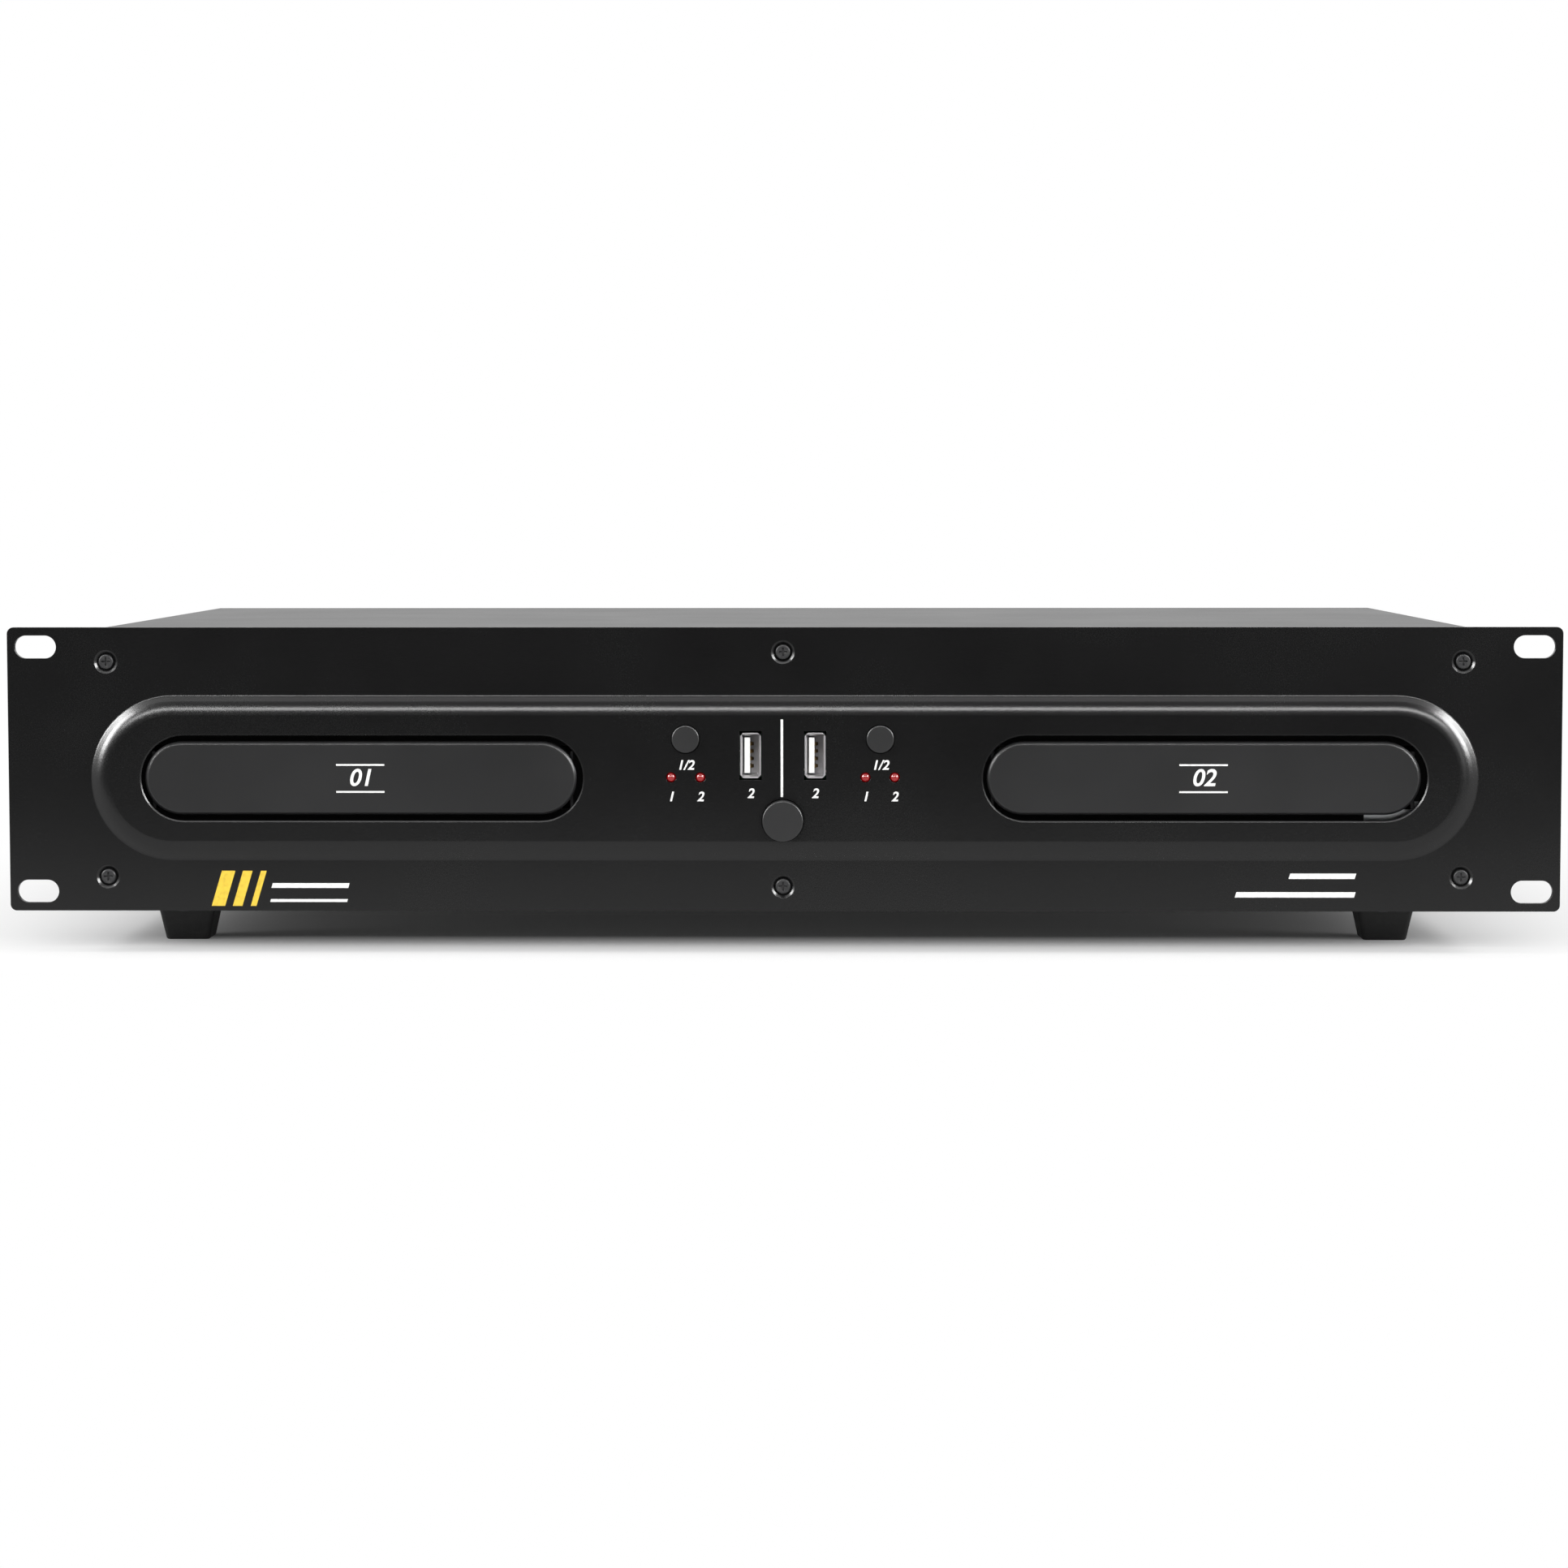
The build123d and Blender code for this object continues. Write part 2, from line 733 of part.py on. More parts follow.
# each capacitor: x, depth, radius, height; each chip: x, depth, width, length
capacitors = ((-40, 206, 8.0, 24.0), (-20, 208, 8.0, 24.0), (-2, 210, 5.0, 16.0), (12, 210, 5.0, 16.0))
chips = ((-24, 150, 20.0, 20.0), (22, 150, 20.0, 20.0), (0, 182, 14.0, 10.0))
headers = ((-44, 112), (0, 104), (44, 112))
chip_t = 1.8
header_w = 24.0
header_depth = 6.0
header_h = 6.0
heat_sink_x = 46.0
heat_sink_depth = 206.0
heat_sink_w = 10.0
heat_sink_len = 36.0
heat_sink_h = 26.0
heat_sink_web = 3.0
heat_sink_fins = 6
fin_t = 1.5

with BuildPart() as board_components:
    for x, d, radius, height in capacitors:
        post(x, d, board_top, board_top + height, radius)
    for x, d, width, length in chips:
        block(
            x - width / 2, x + width / 2, d - length / 2, d + length / 2,
            board_top, board_top + chip_t,
        )
    for x, d in headers:
        block(
            x - header_w / 2, x + header_w / 2, d - header_depth / 2, d + header_depth / 2,
            board_top, board_top + header_h,
        )
    block(
        heat_sink_x - heat_sink_w / 2, heat_sink_x - heat_sink_w / 2 + heat_sink_web,
        heat_sink_depth - heat_sink_len / 2, heat_sink_depth + heat_sink_len / 2,
        board_top, board_top + heat_sink_h,
    )
    fin_pitch = (heat_sink_len - fin_t) / (heat_sink_fins - 1)
    for fin in range(heat_sink_fins):
        fin_front = heat_sink_depth - heat_sink_len / 2 + fin * fin_pitch
        block(
            heat_sink_x - heat_sink_w / 2, heat_sink_x + heat_sink_w / 2,
            fin_front, fin_front + fin_t, board_top, board_top + heat_sink_h,
        )
save(board_components.part, "board_components")

# ======== transformer ========

core_window_w = 34.0
core_window_h = 28.0
core_leg_w = 14.0
winding_w = 33.0
winding_depth = 38.0
winding_gap = 0.2
core_front = transformer_depth - core_depth / 2
core_back = transformer_depth + core_depth / 2
core_low = floor_z
core_mid = core_low + core_foot_t + core_h / 2

with BuildPart() as transformer_core:
    block(
        transformer_x - core_w / 2, transformer_x + core_w / 2, core_front, core_back,
        core_low + core_foot_t, core_low + core_foot_t + core_h,
    )
    for side in (-1, 1):
        window_x = transformer_x + side * (core_window_w + core_leg_w) / 4
        half_window = (core_window_w - core_leg_w) / 4
        block(
            window_x - half_window, window_x + half_window, core_front, core_back,
            core_mid - core_window_h / 2, core_mid + core_window_h / 2, mode=Mode.SUBTRACT,
        )
    block(
        transformer_x - core_foot_w / 2, transformer_x + core_foot_w / 2, core_front, core_back,
        core_low, core_low + core_foot_t,
    )
    with BuildSketch(Plane.XY.offset(core_low)):
        with Locations(*transformer_bolts):
            Circle(screw_hole_r)
    extrude(amount=core_foot_t, mode=Mode.SUBTRACT)
save(transformer_core.part, "transformer_core")

with BuildPart() as transformer_winding:
    with BuildSketch(Plane.XY.offset(core_mid - core_window_h / 2 + winding_gap)):
        with Locations((transformer_x, depth(transformer_depth))):
            RectangleRounded(winding_w, winding_depth, 4.0)
            Rectangle(
                core_leg_w + 2 * winding_gap, core_depth + 2 * winding_gap, mode=Mode.SUBTRACT,
            )
    extrude(amount=core_window_h - 2 * winding_gap)
save(transformer_winding.part, "transformer_winding")

# ======== mains inlet in the rear wall ========

inlet_flange_w = 31.0
inlet_flange_h = 24.0
inlet_flange_t = 2.5
inlet_body_depth = 17.0
inlet_cavity_w = 24.4
inlet_cavity_h = 16.6
inlet_cavity_depth = 15.5
inlet_corner = 4.5  # cut across the cavity's upper corners
inlet_pin_w = 2.0
inlet_pin_h = 4.0
inlet_pin_len = 14.0
inlet_pin_x = 7.0
inlet_earth_rise = 4.0
inlet_live_drop = 1.0
inlet_tab_len = 8.0
inlet_back = case_rear + inlet_flange_t
inlet_pins = (
    (-inlet_pin_x, -inlet_live_drop), (0, inlet_earth_rise), (inlet_pin_x, -inlet_live_drop),
)

with BuildPart() as mains_inlet:
    block(
        inlet_x - inlet_flange_w / 2, inlet_x + inlet_flange_w / 2, case_rear, inlet_back,
        inlet_z - inlet_flange_h / 2, inlet_z + inlet_flange_h / 2,
    )
    fillet(mains_inlet.edges().filter_by(Axis.Y), 2.0)
    block(
        inlet_x - inlet_body_w / 2, inlet_x + inlet_body_w / 2, inlet_back - inlet_body_depth, case_rear,
        inlet_z - inlet_body_h / 2, inlet_z + inlet_body_h / 2,
    )
    with BuildSketch(facing(inlet_back)):
        with Locations((inlet_x, inlet_z)):
            Polygon(
                (-inlet_cavity_w / 2, -inlet_cavity_h / 2),
                (inlet_cavity_w / 2, -inlet_cavity_h / 2),
                (inlet_cavity_w / 2, inlet_cavity_h / 2 - inlet_corner),
                (inlet_cavity_w / 2 - inlet_corner, inlet_cavity_h / 2),
                (-inlet_cavity_w / 2 + inlet_corner, inlet_cavity_h / 2),
                (-inlet_cavity_w / 2, inlet_cavity_h / 2 - inlet_corner),
            )
    extrude(amount=inlet_cavity_depth, mode=Mode.SUBTRACT)
    for x, rise in inlet_pins:
        block(
            inlet_x + x - inlet_pin_w / 2, inlet_x + x + inlet_pin_w / 2,
            inlet_back - inlet_body_depth - inlet_tab_len, inlet_back - inlet_cavity_depth + inlet_pin_len,
            inlet_z + rise - inlet_pin_h / 2, inlet_z + rise + inlet_pin_h / 2,
        )
save(mains_inlet.part, "mains_inlet")

# ======== phono output jacks and control sockets on the main board's rear edge ========

jack_sleeve_r = 4.15
jack_core_r = 3.0
jack_hole_r = 1.6
jack_core_depth = 1.0
jack_collar = 1.0
jack_back = case_rear + jack_reach
jack_block_w = 12.0
jack_block_depth = 12.0
jack_block_h = jack_z - board_top + 5.0
socket_block_w = 15.0
socket_ring_r = 4.6
socket_core_r = 3.5
socket_groove_depth = 6.0
socket_core_sunk = 1.0
socket_reach = 2.0
connector_front = wall_front - 0.3

with BuildPart() as output_jacks:
    for x, z in jack_places:
        block(
            x - jack_block_w / 2, x + jack_block_w / 2,
            connector_front - jack_block_depth, connector_front, board_top, board_top + jack_block_h,
        )
        rod(x, z, connector_front, case_rear + jack_collar, jack_boss_r)
        rod(x, z, case_rear + jack_collar, jack_back, jack_sleeve_r)
        rod(x, z, jack_back - jack_core_depth, jack_back, jack_core_r, Mode.SUBTRACT)
        rod(x, z, case_rear, jack_back, jack_hole_r, Mode.SUBTRACT)
save(output_jacks.part, "output_jacks")

with BuildPart() as control_sockets:
    for x, z in socket_places:
        block(
            x - socket_block_w / 2, x + socket_block_w / 2,
            connector_front - jack_block_depth, connector_front, board_top, board_top + jack_block_h,
        )
        rod(x, z, connector_front, case_rear + socket_reach, socket_boss_r)
        socket_back = case_rear + socket_reach
        rod(x, z, socket_back - socket_groove_depth, socket_back, socket_ring_r, Mode.SUBTRACT)
        rod(x, z, socket_back - socket_groove_depth, socket_back - socket_core_sunk, socket_core_r)
save(control_sockets.part, "control_sockets")

# ======== drive levels, all measured from the tray's middle height ========

tray_body_w = 124.0
tray_flange_low = tray_z - 1.5
recess_floor = tray_z - 2.0
small_recess_floor = tray_z - 3.0
disc_gap = 0.5
tray_window_r = 21.0
front_bar_w = 116.0
front_bar_low = tray_lug_low
front_bar_high = tray_z + 5.0
front_bar_t = 3.8
door_lug_x = 35.0
door_lug_w = 10.0
door_lug_h = 6.0
door_lug_len = 3.0
lug_gap = 0.1

# gear train under the tray
rack_module = 1.0
rack_addendum = 0.9
rack_dedendum = 1.25
pressure_angle = 20.0
pinion_teeth = 18
wheel_module = 0.8
wheel_teeth = 42
driver_teeth = 18
backlash = 0.14
rack_pitch_x = -54.5
rack_back_x = -59.0
rack_front = 16.0
pinion_depth = 25.0
pinion_r = rack_module * pinion_teeth / 2
wheel_r = wheel_module * wheel_teeth / 2
driver_r = wheel_module * driver_teeth / 2
pinion_x = rack_pitch_x + pinion_r
driver_x = pinion_x + wheel_r + driver_r
motor_x = driver_x + 39.5

wheel_low = tray_z - 12.6
wheel_high = tray_z - 9.9
pinion_high = tray_z - 4.8
pulley_low = tray_z - 16.5
pulley_high = tray_z - 13.3
driver_high = tray_z - 9.7
deck_top = tray_z - 17.0
deck_t = 2.5
deck_bottom = deck_top - deck_t
gear_post_r = 2.0

# ======== disc tray with its rack ========

disc_recess_r = disc_r + disc_gap
small_recess_r = small_disc_r + disc_gap
rack_pitch = pi * rack_module
flank = tan(radians(pressure_angle))
half_space = rack_pitch / 4 + backlash / 2
tip_x = rack_pitch_x + rack_addendum * rack_module
root_x = rack_pitch_x - rack_dedendum * rack_module
tip_half = half_space + rack_addendum * rack_module * flank
root_half = half_space - rack_dedendum * rack_module * flank
first_space = -int((pinion_depth - rack_front - tip_half) / rack_pitch)
last_space = int((tray_rear - pinion_depth - tip_half) / rack_pitch)

with BuildPart() as disc_tray:
    block(-tray_body_w / 2, tray_body_w / 2, tray_front, tray_rear, tray_bottom, tray_top)
    block(-tray_w / 2, tray_w / 2, tray_front, tray_rear, tray_flange_low, tray_top)
    block(
        -front_bar_w / 2, front_bar_w / 2, tray_front, tray_front + front_bar_t,
        front_bar_low, front_bar_high,
    )
    # disc recesses, one inside the other
    post(0, disc_depth, recess_floor, tray_top, disc_recess_r, Mode.SUBTRACT)
    post(0, disc_depth, small_recess_floor, tray_top, small_recess_r, Mode.SUBTRACT)
    # window for the turntable and the pickup, open to the rear
    post(0, disc_depth, tray_bottom, tray_top, tray_window_r, Mode.SUBTRACT)
    block(-tray_window_r, tray_window_r, disc_depth, tray_rear, tray_bottom, tray_top, Mode.SUBTRACT)
    # rack bar with straight-sided teeth
    block(rack_back_x, tip_x, rack_front, tray_rear, tray_lug_low, tray_bottom)
    with BuildSketch(Plane.XY.offset(tray_lug_low)):
        for space in range(first_space, last_space + 1):
            y = depth(pinion_depth + space * rack_pitch)
            with BuildLine():
                Polyline(
                    (tip_x, y - tip_half), (root_x, y - root_half),
                    (root_x, y + root_half), (tip_x, y + tip_half), close=True,
                )
            make_face()
    extrude(amount=tray_bottom - tray_lug_low, mode=Mode.SUBTRACT)
    # pockets for the door's lugs
    for side in (-1, 1):
        block(
            side * door_lug_x - door_lug_w / 2 - lug_gap, side * door_lug_x + door_lug_w / 2 + lug_gap,
            tray_front, tray_front + door_lug_len + lug_gap,
            tray_z - door_lug_h / 2 - lug_gap, tray_z + door_lug_h / 2 + lug_gap, Mode.SUBTRACT,
        )
save_drives(disc_tray.part, "disc_tray")

# ======== tray door ========

with BuildPart() as tray_door:
    with BuildSketch(facing(door_front)):
        with Locations((0, tray_z)):
            SlotOverall(door_len, door_h)
    extrude(amount=-door_t)
    chamfer(tray_door.edges().group_by(Axis.Y)[0], door_edge)
    for side in (-1, 1):
        block(
            side * door_lug_x - door_lug_w / 2, side * door_lug_x + door_lug_w / 2,
            door_back, door_back + door_lug_len,
            tray_z - door_lug_h / 2, tray_z + door_lug_h / 2,
        )
save_drives(tray_door.part, "tray_door")

# ======== gears of the tray drive ========


def involute(angle):
    return tan(angle) - angle


def gear_outline(module, teeth):
    # corner points of a spur gear, one tooth centred on +X
    pitch_r = module * teeth / 2
    base_r = pitch_r * cos(radians(pressure_angle))
    root_r = pitch_r - rack_dedendum * module
    tip_r = pitch_r + rack_addendum * module
    half_pitch = pi / (2 * teeth) - backlash / (4 * pitch_r) + involute(radians(pressure_angle))
    start_r = max(base_r, root_r)
    steps = 4
    radii = [start_r + (tip_r - start_r) * step / steps for step in range(steps + 1)]
    flank_points = [(radius, half_pitch - involute(acos(base_r / radius))) for radius in radii]
    rising = flank_points
    if root_r < base_r:
        rising = [(root_r, flank_points[0][1])] + flank_points
    points = []
    for tooth in range(teeth):
        centre = 2 * pi * tooth / teeth
        points += [(radius, centre - angle) for radius, angle in rising]
        points += [(radius, centre + angle) for radius, angle in reversed(rising)]
    return [(radius * cos(angle), radius * sin(angle)) for radius, angle in points]


def spur_gear(module, teeth, thickness):
    with BuildPart() as gear:
        with BuildSketch(Plane.XY):
            with BuildLine():
                Polyline(*gear_outline(module, teeth), close=True)
            make_face()
        extrude(amount=thickness)
    return gear.part


wheel_hub_r = 4.0
pulley_r = 14.0
pulley_flange = 1.0
motor_pulley_r = 4.0
belt_t = 1.2
belt_h = 1.4
belt_gap = 0.15
groove_h = belt_h + 2 * run_gap
belt_z = (pulley_low + pulley_high) / 2
half_turn = 180.0

tray_wheel = spur_gear(wheel_module, wheel_teeth, wheel_high - wheel_low)
rack_pinion = Rot(0, 0, half_turn) * spur_gear(rack_module, pinion_teeth, pinion_high - wheel_high)
driver_gear = Rot(0, 0, half_turn / driver_teeth) * spur_gear(
    wheel_module, driver_teeth, driver_high - pulley_high
)

with BuildPart() as tray_pinion:
    with Locations((pinion_x, depth(pinion_depth), wheel_low)):
        add(tray_wheel)
    with Locations((pinion_x, depth(pinion_depth), wheel_high)):
        add(rack_pinion)
    post(pinion_x, pinion_depth, pulley_low, wheel_low, wheel_hub_r)
    post(pinion_x, pinion_depth, pulley_low, pinion_high, gear_post_r + turn_gap, Mode.SUBTRACT)
save_drives(tray_pinion.part, "tray_pinion")


def grooved_pulley(x, radius):
    # belt pulley between two flanges
    post(x, pinion_depth, pulley_low, pulley_high, radius + pulley_flange)
    with Locations((x, depth(pinion_depth), belt_z)):
        Cylinder(radius + pulley_flange, groove_h, mode=Mode.SUBTRACT)
        Cylinder(radius - belt_t, groove_h)


with BuildPart() as belt_gear:
    grooved_pulley(driver_x, pulley_r)
    with Locations((driver_x, depth(pinion_depth), pulley_high)):
        add(driver_gear)
    post(driver_x, pinion_depth, pulley_low, driver_high, gear_post_r + turn_gap, Mode.SUBTRACT)
save_drives(belt_gear.part, "belt_gear")

motor_shaft_r = 1.0
motor_r = 12.0
motor_h = 16.0
motor_shaft_low = deck_bottom - 8.0
motor_nose_r = 3.0
motor_nose_high = deck_top + 0.2

with BuildPart() as motor_pulley:
    grooved_pulley(motor_x, motor_pulley_r)
    post(motor_x, pinion_depth, motor_shaft_low, pulley_low, motor_shaft_r)
save_drives(motor_pulley.part, "motor_pulley")

with BuildPart() as loading_motor:
    post(motor_x, pinion_depth, deck_bottom - motor_h, deck_bottom, motor_r)
    fillet(loading_motor.edges().group_by(Axis.Z)[0], 1.2)
    post(motor_x, pinion_depth, deck_bottom, motor_nose_high, motor_nose_r)
    post(
        motor_x, pinion_depth, motor_shaft_low - run_gap, motor_nose_high,
        motor_shaft_r + turn_gap, Mode.SUBTRACT,
    )
save_drives(loading_motor.part, "loading_motor")

# belt round both pulleys: the outline of two discs joined by their common tangents
belt_inner_big = pulley_r - belt_t + belt_gap
belt_inner_small = motor_pulley_r - belt_t + belt_gap


def belt_outline(grow):
    big, small = belt_inner_big + grow, belt_inner_small + grow
    span = motor_x - driver_x
    lean = asin((big - small) / span)
    left = (driver_x, depth(pinion_depth))
    right = (motor_x, depth(pinion_depth))
    far_big = (left[0] - big, left[1])
    far_small = (right[0] + small, right[1])
    upper = [(x + r * sin(lean), y + r * cos(lean)) for (x, y), r in ((left, big), (right, small))]
    lower = [(x + r * sin(lean), y - r * cos(lean)) for (x, y), r in ((left, big), (right, small))]
    with BuildSketch() as outline:
        with BuildLine():
            Line(upper[0], upper[1])
            ThreePointArc(upper[1], far_small, lower[1])
            Line(lower[1], lower[0])
            ThreePointArc(lower[0], far_big, upper[0])
        make_face()
    return outline.sketch


with BuildPart() as drive_belt:
    with BuildSketch(Plane.XY.offset(belt_z - belt_h / 2)):
        add(belt_outline(belt_t))
        add(belt_outline(0), mode=Mode.SUBTRACT)
    extrude(amount=belt_h)
save_drives(drive_belt.part, "drive_belt")

# ======== traverse: lifting frame with spindle, guide rods and feed ========

lift_drop = 7.0  # how far the turntable sinks
pivot_z = tray_z - 11.0
pivot_r = 2.0
plate_top = tray_z - 10.0
plate_t = 2.0
plate_bottom = plate_top - plate_t
frame_half_w = 37.0
frame_front = 49.0
cam_depth = 43.0
cam_t = 3.0
cam_travel = 12.0
cam_pin_x = 20.0
cam_pin_r = 1.5
cam_slot_gap = 0.2
rod_x = 21.0
rod_r = 1.5
rod_z = tray_z - 7.5
rod_front = 81.0
rod_end_gap = 3.0
rod_post_len = 4.0
rod_post_w = 6.0
rod_post_top = tray_z - 5.2
seat_gap = 0.02
pickup_front = 87.0
pickup_len = 26.0
pickup_travel = 36.0
rod_rear = pickup_front + pickup_len + pickup_travel + rod_end_gap + rod_post_len
pivot_depth = rod_rear + 2.0
frame_rear = pivot_depth + 2.5
feed_x = 30.0
feed_z = tray_z - 18.0
feed_r = 1.5
feed_tab_front = 85.0
feed_tab_rear = rod_rear - 3.0
feed_tab_t = 1.6
feed_tab_half = 6.5
pickup_window_half = 14.5
arm_slot_half = 4.0
spindle_r = 1.0
spindle_motor_r = 12.0
spindle_motor_h = 10.0
feed_motor_r = 5.5
feed_motor_len = 14.0
rim_t = 2.0
rim_inset = 4.0
rim_rise = 2.5
window_rear_gap = 1.5
pivot_pin_out = 6.5
pivot_pin_root = 2.0
lift_lever = pivot_depth - disc_depth
pin_lever = pivot_depth - (cam_depth + cam_t / 2)
lift_angle = asin(lift_drop / lift_lever)
pin_drop = pin_lever * sin(lift_angle)

with BuildPart() as traverse_frame:
    block(-frame_half_w, frame_half_w, frame_front, frame_rear, plate_bottom, plate_top)
    fillet(traverse_frame.edges().filter_by(Axis.Z), 4.0)
    # stiffening rims along both sides
    for side in (-1, 1):
        rim_x = side * (frame_half_w - rim_t / 2)
        block(
            rim_x - rim_t / 2, rim_x + rim_t / 2, frame_front + rim_inset, frame_rear - rim_inset,
            plate_bottom, plate_top + rim_rise,
        )
    # window of the laser block, slot of the feed arm and hole of the spindle
    window_front = pickup_front + 1.0
    window_rear = rod_rear - rod_post_len - window_rear_gap
    block(
        -pickup_window_half, pickup_window_half, window_front, window_rear,
        plate_bottom, plate_top, Mode.SUBTRACT,
    )
    block(
        feed_x - arm_slot_half, feed_x + arm_slot_half, window_front, window_rear,
        plate_bottom, plate_top, Mode.SUBTRACT,
    )
    post(0, disc_depth, plate_bottom, plate_top, spindle_r + 2.0, Mode.SUBTRACT)
    # posts that hold the guide rods
    for side in (-1, 1):
        for front in (rod_front, rod_rear - rod_post_len):
            block(
                side * rod_x - rod_post_w / 2, side * rod_x + rod_post_w / 2, front, front + rod_post_len,
                plate_top, rod_post_top,
            )
        rod(side * rod_x, rod_z, rod_front, rod_rear, rod_r + seat_gap, Mode.SUBTRACT)
    # tabs that carry the feed motor and the far end of the feed screw
    for front in (feed_tab_front, feed_tab_rear):
        block(
            feed_x - feed_tab_half, feed_x + feed_tab_half, front, front + feed_tab_t,
            feed_z - feed_tab_half + 1, plate_bottom,
        )
    rod(feed_x, feed_z, feed_tab_front, feed_tab_rear + feed_tab_t, feed_r + turn_gap, Mode.SUBTRACT)
    # pivot pins at the rear and the cam pin in front
    for side in (-1, 1):
        pin_x = side * (frame_half_w + (pivot_pin_out - pivot_pin_root) / 2)
        with Locations(Location((pin_x, depth(pivot_depth), pivot_z), (0, 90, 0))):
            Cylinder(pivot_r, pivot_pin_out + pivot_pin_root)
    rod(cam_pin_x, pivot_z, cam_depth + run_gap, frame_front, cam_pin_r)
save_drives(traverse_frame.part, "traverse_frame")

with BuildPart() as guide_rods:
    for side in (-1, 1):
        rod(side * rod_x, rod_z, rod_front, rod_rear, rod_r)
save_drives(guide_rods.part, "guide_rods")

with BuildPart() as traverse_motors:
    post(0, disc_depth, plate_bottom - spindle_motor_h, plate_bottom, spindle_motor_r)
    fillet(traverse_motors.edges().group_by(Axis.Z)[0], 1.0)
    post(
        0, disc_depth, plate_bottom - spindle_motor_h + 1.0, plate_bottom,
        spindle_r + turn_gap, Mode.SUBTRACT,
    )
    rod(feed_x, feed_z, feed_tab_front - feed_motor_len, feed_tab_front, feed_motor_r)
    rod(feed_x, feed_z, feed_tab_front - feed_motor_len + 2, feed_tab_front, feed_r + turn_gap, Mode.SUBTRACT)
save_drives(traverse_motors.part, "traverse_motors")

with BuildPart() as feed_screw:
    rod(feed_x, feed_z, feed_tab_front - feed_motor_len / 2, feed_tab_rear + feed_tab_t, feed_r)
save_drives(feed_screw.part, "feed_screw")

# ======== turntable with its shaft ========

table_r = 13.5
table_top = tray_z
table_t = 3.5
cone_r = 7.4
cone_h = 2.4
hub_r = 3.5

with BuildPart() as turntable:
    post(0, disc_depth, plate_bottom - spindle_motor_h + 1.5, table_top, spindle_r)
    post(0, disc_depth, plate_top + 1.0, table_top, hub_r)
    post(0, disc_depth, table_top - table_t, table_top, table_r)
    fillet(turntable.edges().filter_by(GeomType.CIRCLE).sort_by(SortBy.RADIUS)[-1], 0.4)
    with BuildSketch(Plane.XY.offset(table_top)):
        with Locations((0, depth(disc_depth))):
            Circle(cone_r)
    extrude(amount=cone_h, taper=25)
save_drives(turntable.part, "turntable")

# ======== laser pickup on its sled ========

pickup_half_w = 25.0
sled_low = tray_z - 9.3
sled_high = tray_z - 5.0
lens_depth = disc_depth + 24.0
tower_r = 5.0
tower_high = tray_z - 2.4
lens_r = 2.2
lens_high = tray_z - 1.8
laser_half_w = 11.0
laser_front = 91.0
laser_rear = 109.0
laser_low = tray_z - 19.0
arm_half = 3.0
arm_front = 96.0
arm_rear = 104.0
arm_low = feed_z - 3.5

with BuildPart() as pickup:
    block(
        -pickup_half_w, pickup_half_w, pickup_front, pickup_front + pickup_len,
        sled_low, sled_high,
    )
    fillet(pickup.edges().filter_by(Axis.Z), 3.0)
    block(-laser_half_w, laser_half_w, laser_front, laser_rear, laser_low, sled_low)
    post(0, lens_depth, sled_high, tower_high, tower_r)
    post(0, lens_depth, tower_high, lens_high, lens_r)
    # arm that reaches down to the feed screw
    block(pickup_half_w, feed_x + arm_half, arm_front, arm_rear, sled_low, sled_high - 1)
    block(feed_x - arm_half, feed_x + arm_half, arm_front, arm_rear, arm_low, sled_low)
    rod(feed_x, feed_z, arm_front, arm_rear, feed_r + turn_gap, Mode.SUBTRACT)
    for side in (-1, 1):
        rod(side * rod_x, rod_z, pickup_front, pickup_front + pickup_len, rod_r + turn_gap, Mode.SUBTRACT)
save_drives(pickup.part, "pickup")

# ======== cam slider that lifts and lowers the traverse ========

cam_left = cam_pin_x - cam_travel - 6.0
cam_right = cam_pin_x + 6.0
cam_high = pivot_z + 4.0
cam_low = pivot_z - pin_drop - 3.5
cam_foot_t = 1.6
cam_foot_front = 38.0
slot_half = cam_pin_r + cam_slot_gap
slot_run = (cam_travel**2 + pin_drop**2) ** 0.5
slot_angle = degrees(atan(pin_drop / cam_travel))

with BuildPart() as cam_slider:
    block(cam_left, cam_right, cam_depth, cam_depth + cam_t, cam_low, cam_high)
    block(
        cam_left, cam_right, cam_foot_front, cam_depth,
        deck_top + run_gap, deck_top + run_gap + cam_foot_t,
    )
    with BuildSketch(facing(cam_depth)):
        with Locations((cam_pin_x - cam_travel / 2, pivot_z - pin_drop / 2)):
            SlotCenterToCenter(slot_run, 2 * slot_half, rotation=slot_angle)
    extrude(amount=-cam_t, mode=Mode.SUBTRACT)
save_drives(cam_slider.part, "cam_slider")

# ======== loader frame ========

loader_gap = 0.4
loader_front = subpanel_back + loader_gap
side_gap = 0.5
side_t = 2.5
side_inner = tray_w / 2 + side_gap
side_outer = side_inner + side_t
side_high = tray_z + 8.0
guide_w = 2.2
guide_t = 1.6
tab_len = 22.0
tab_fronts = (8.0, 60.0, 140.0)
front_wall_t = 2.0
front_wall_high = tray_z - 10.0
rear_wall_high = tray_z + 2.0
deck_window_half = frame_half_w + 2.5
deck_window_front = cam_depth - 0.4
deck_window_rear = frame_rear + 2.0
ear_t = 3.6
ear_gap = 0.4
ear_half = 4.5
ear_high = pivot_z + 4.0
keeper_t = 1.2
keeper_front = cam_foot_front - run_gap - keeper_t
keeper_high = deck_top + 2 * run_gap + cam_foot_t

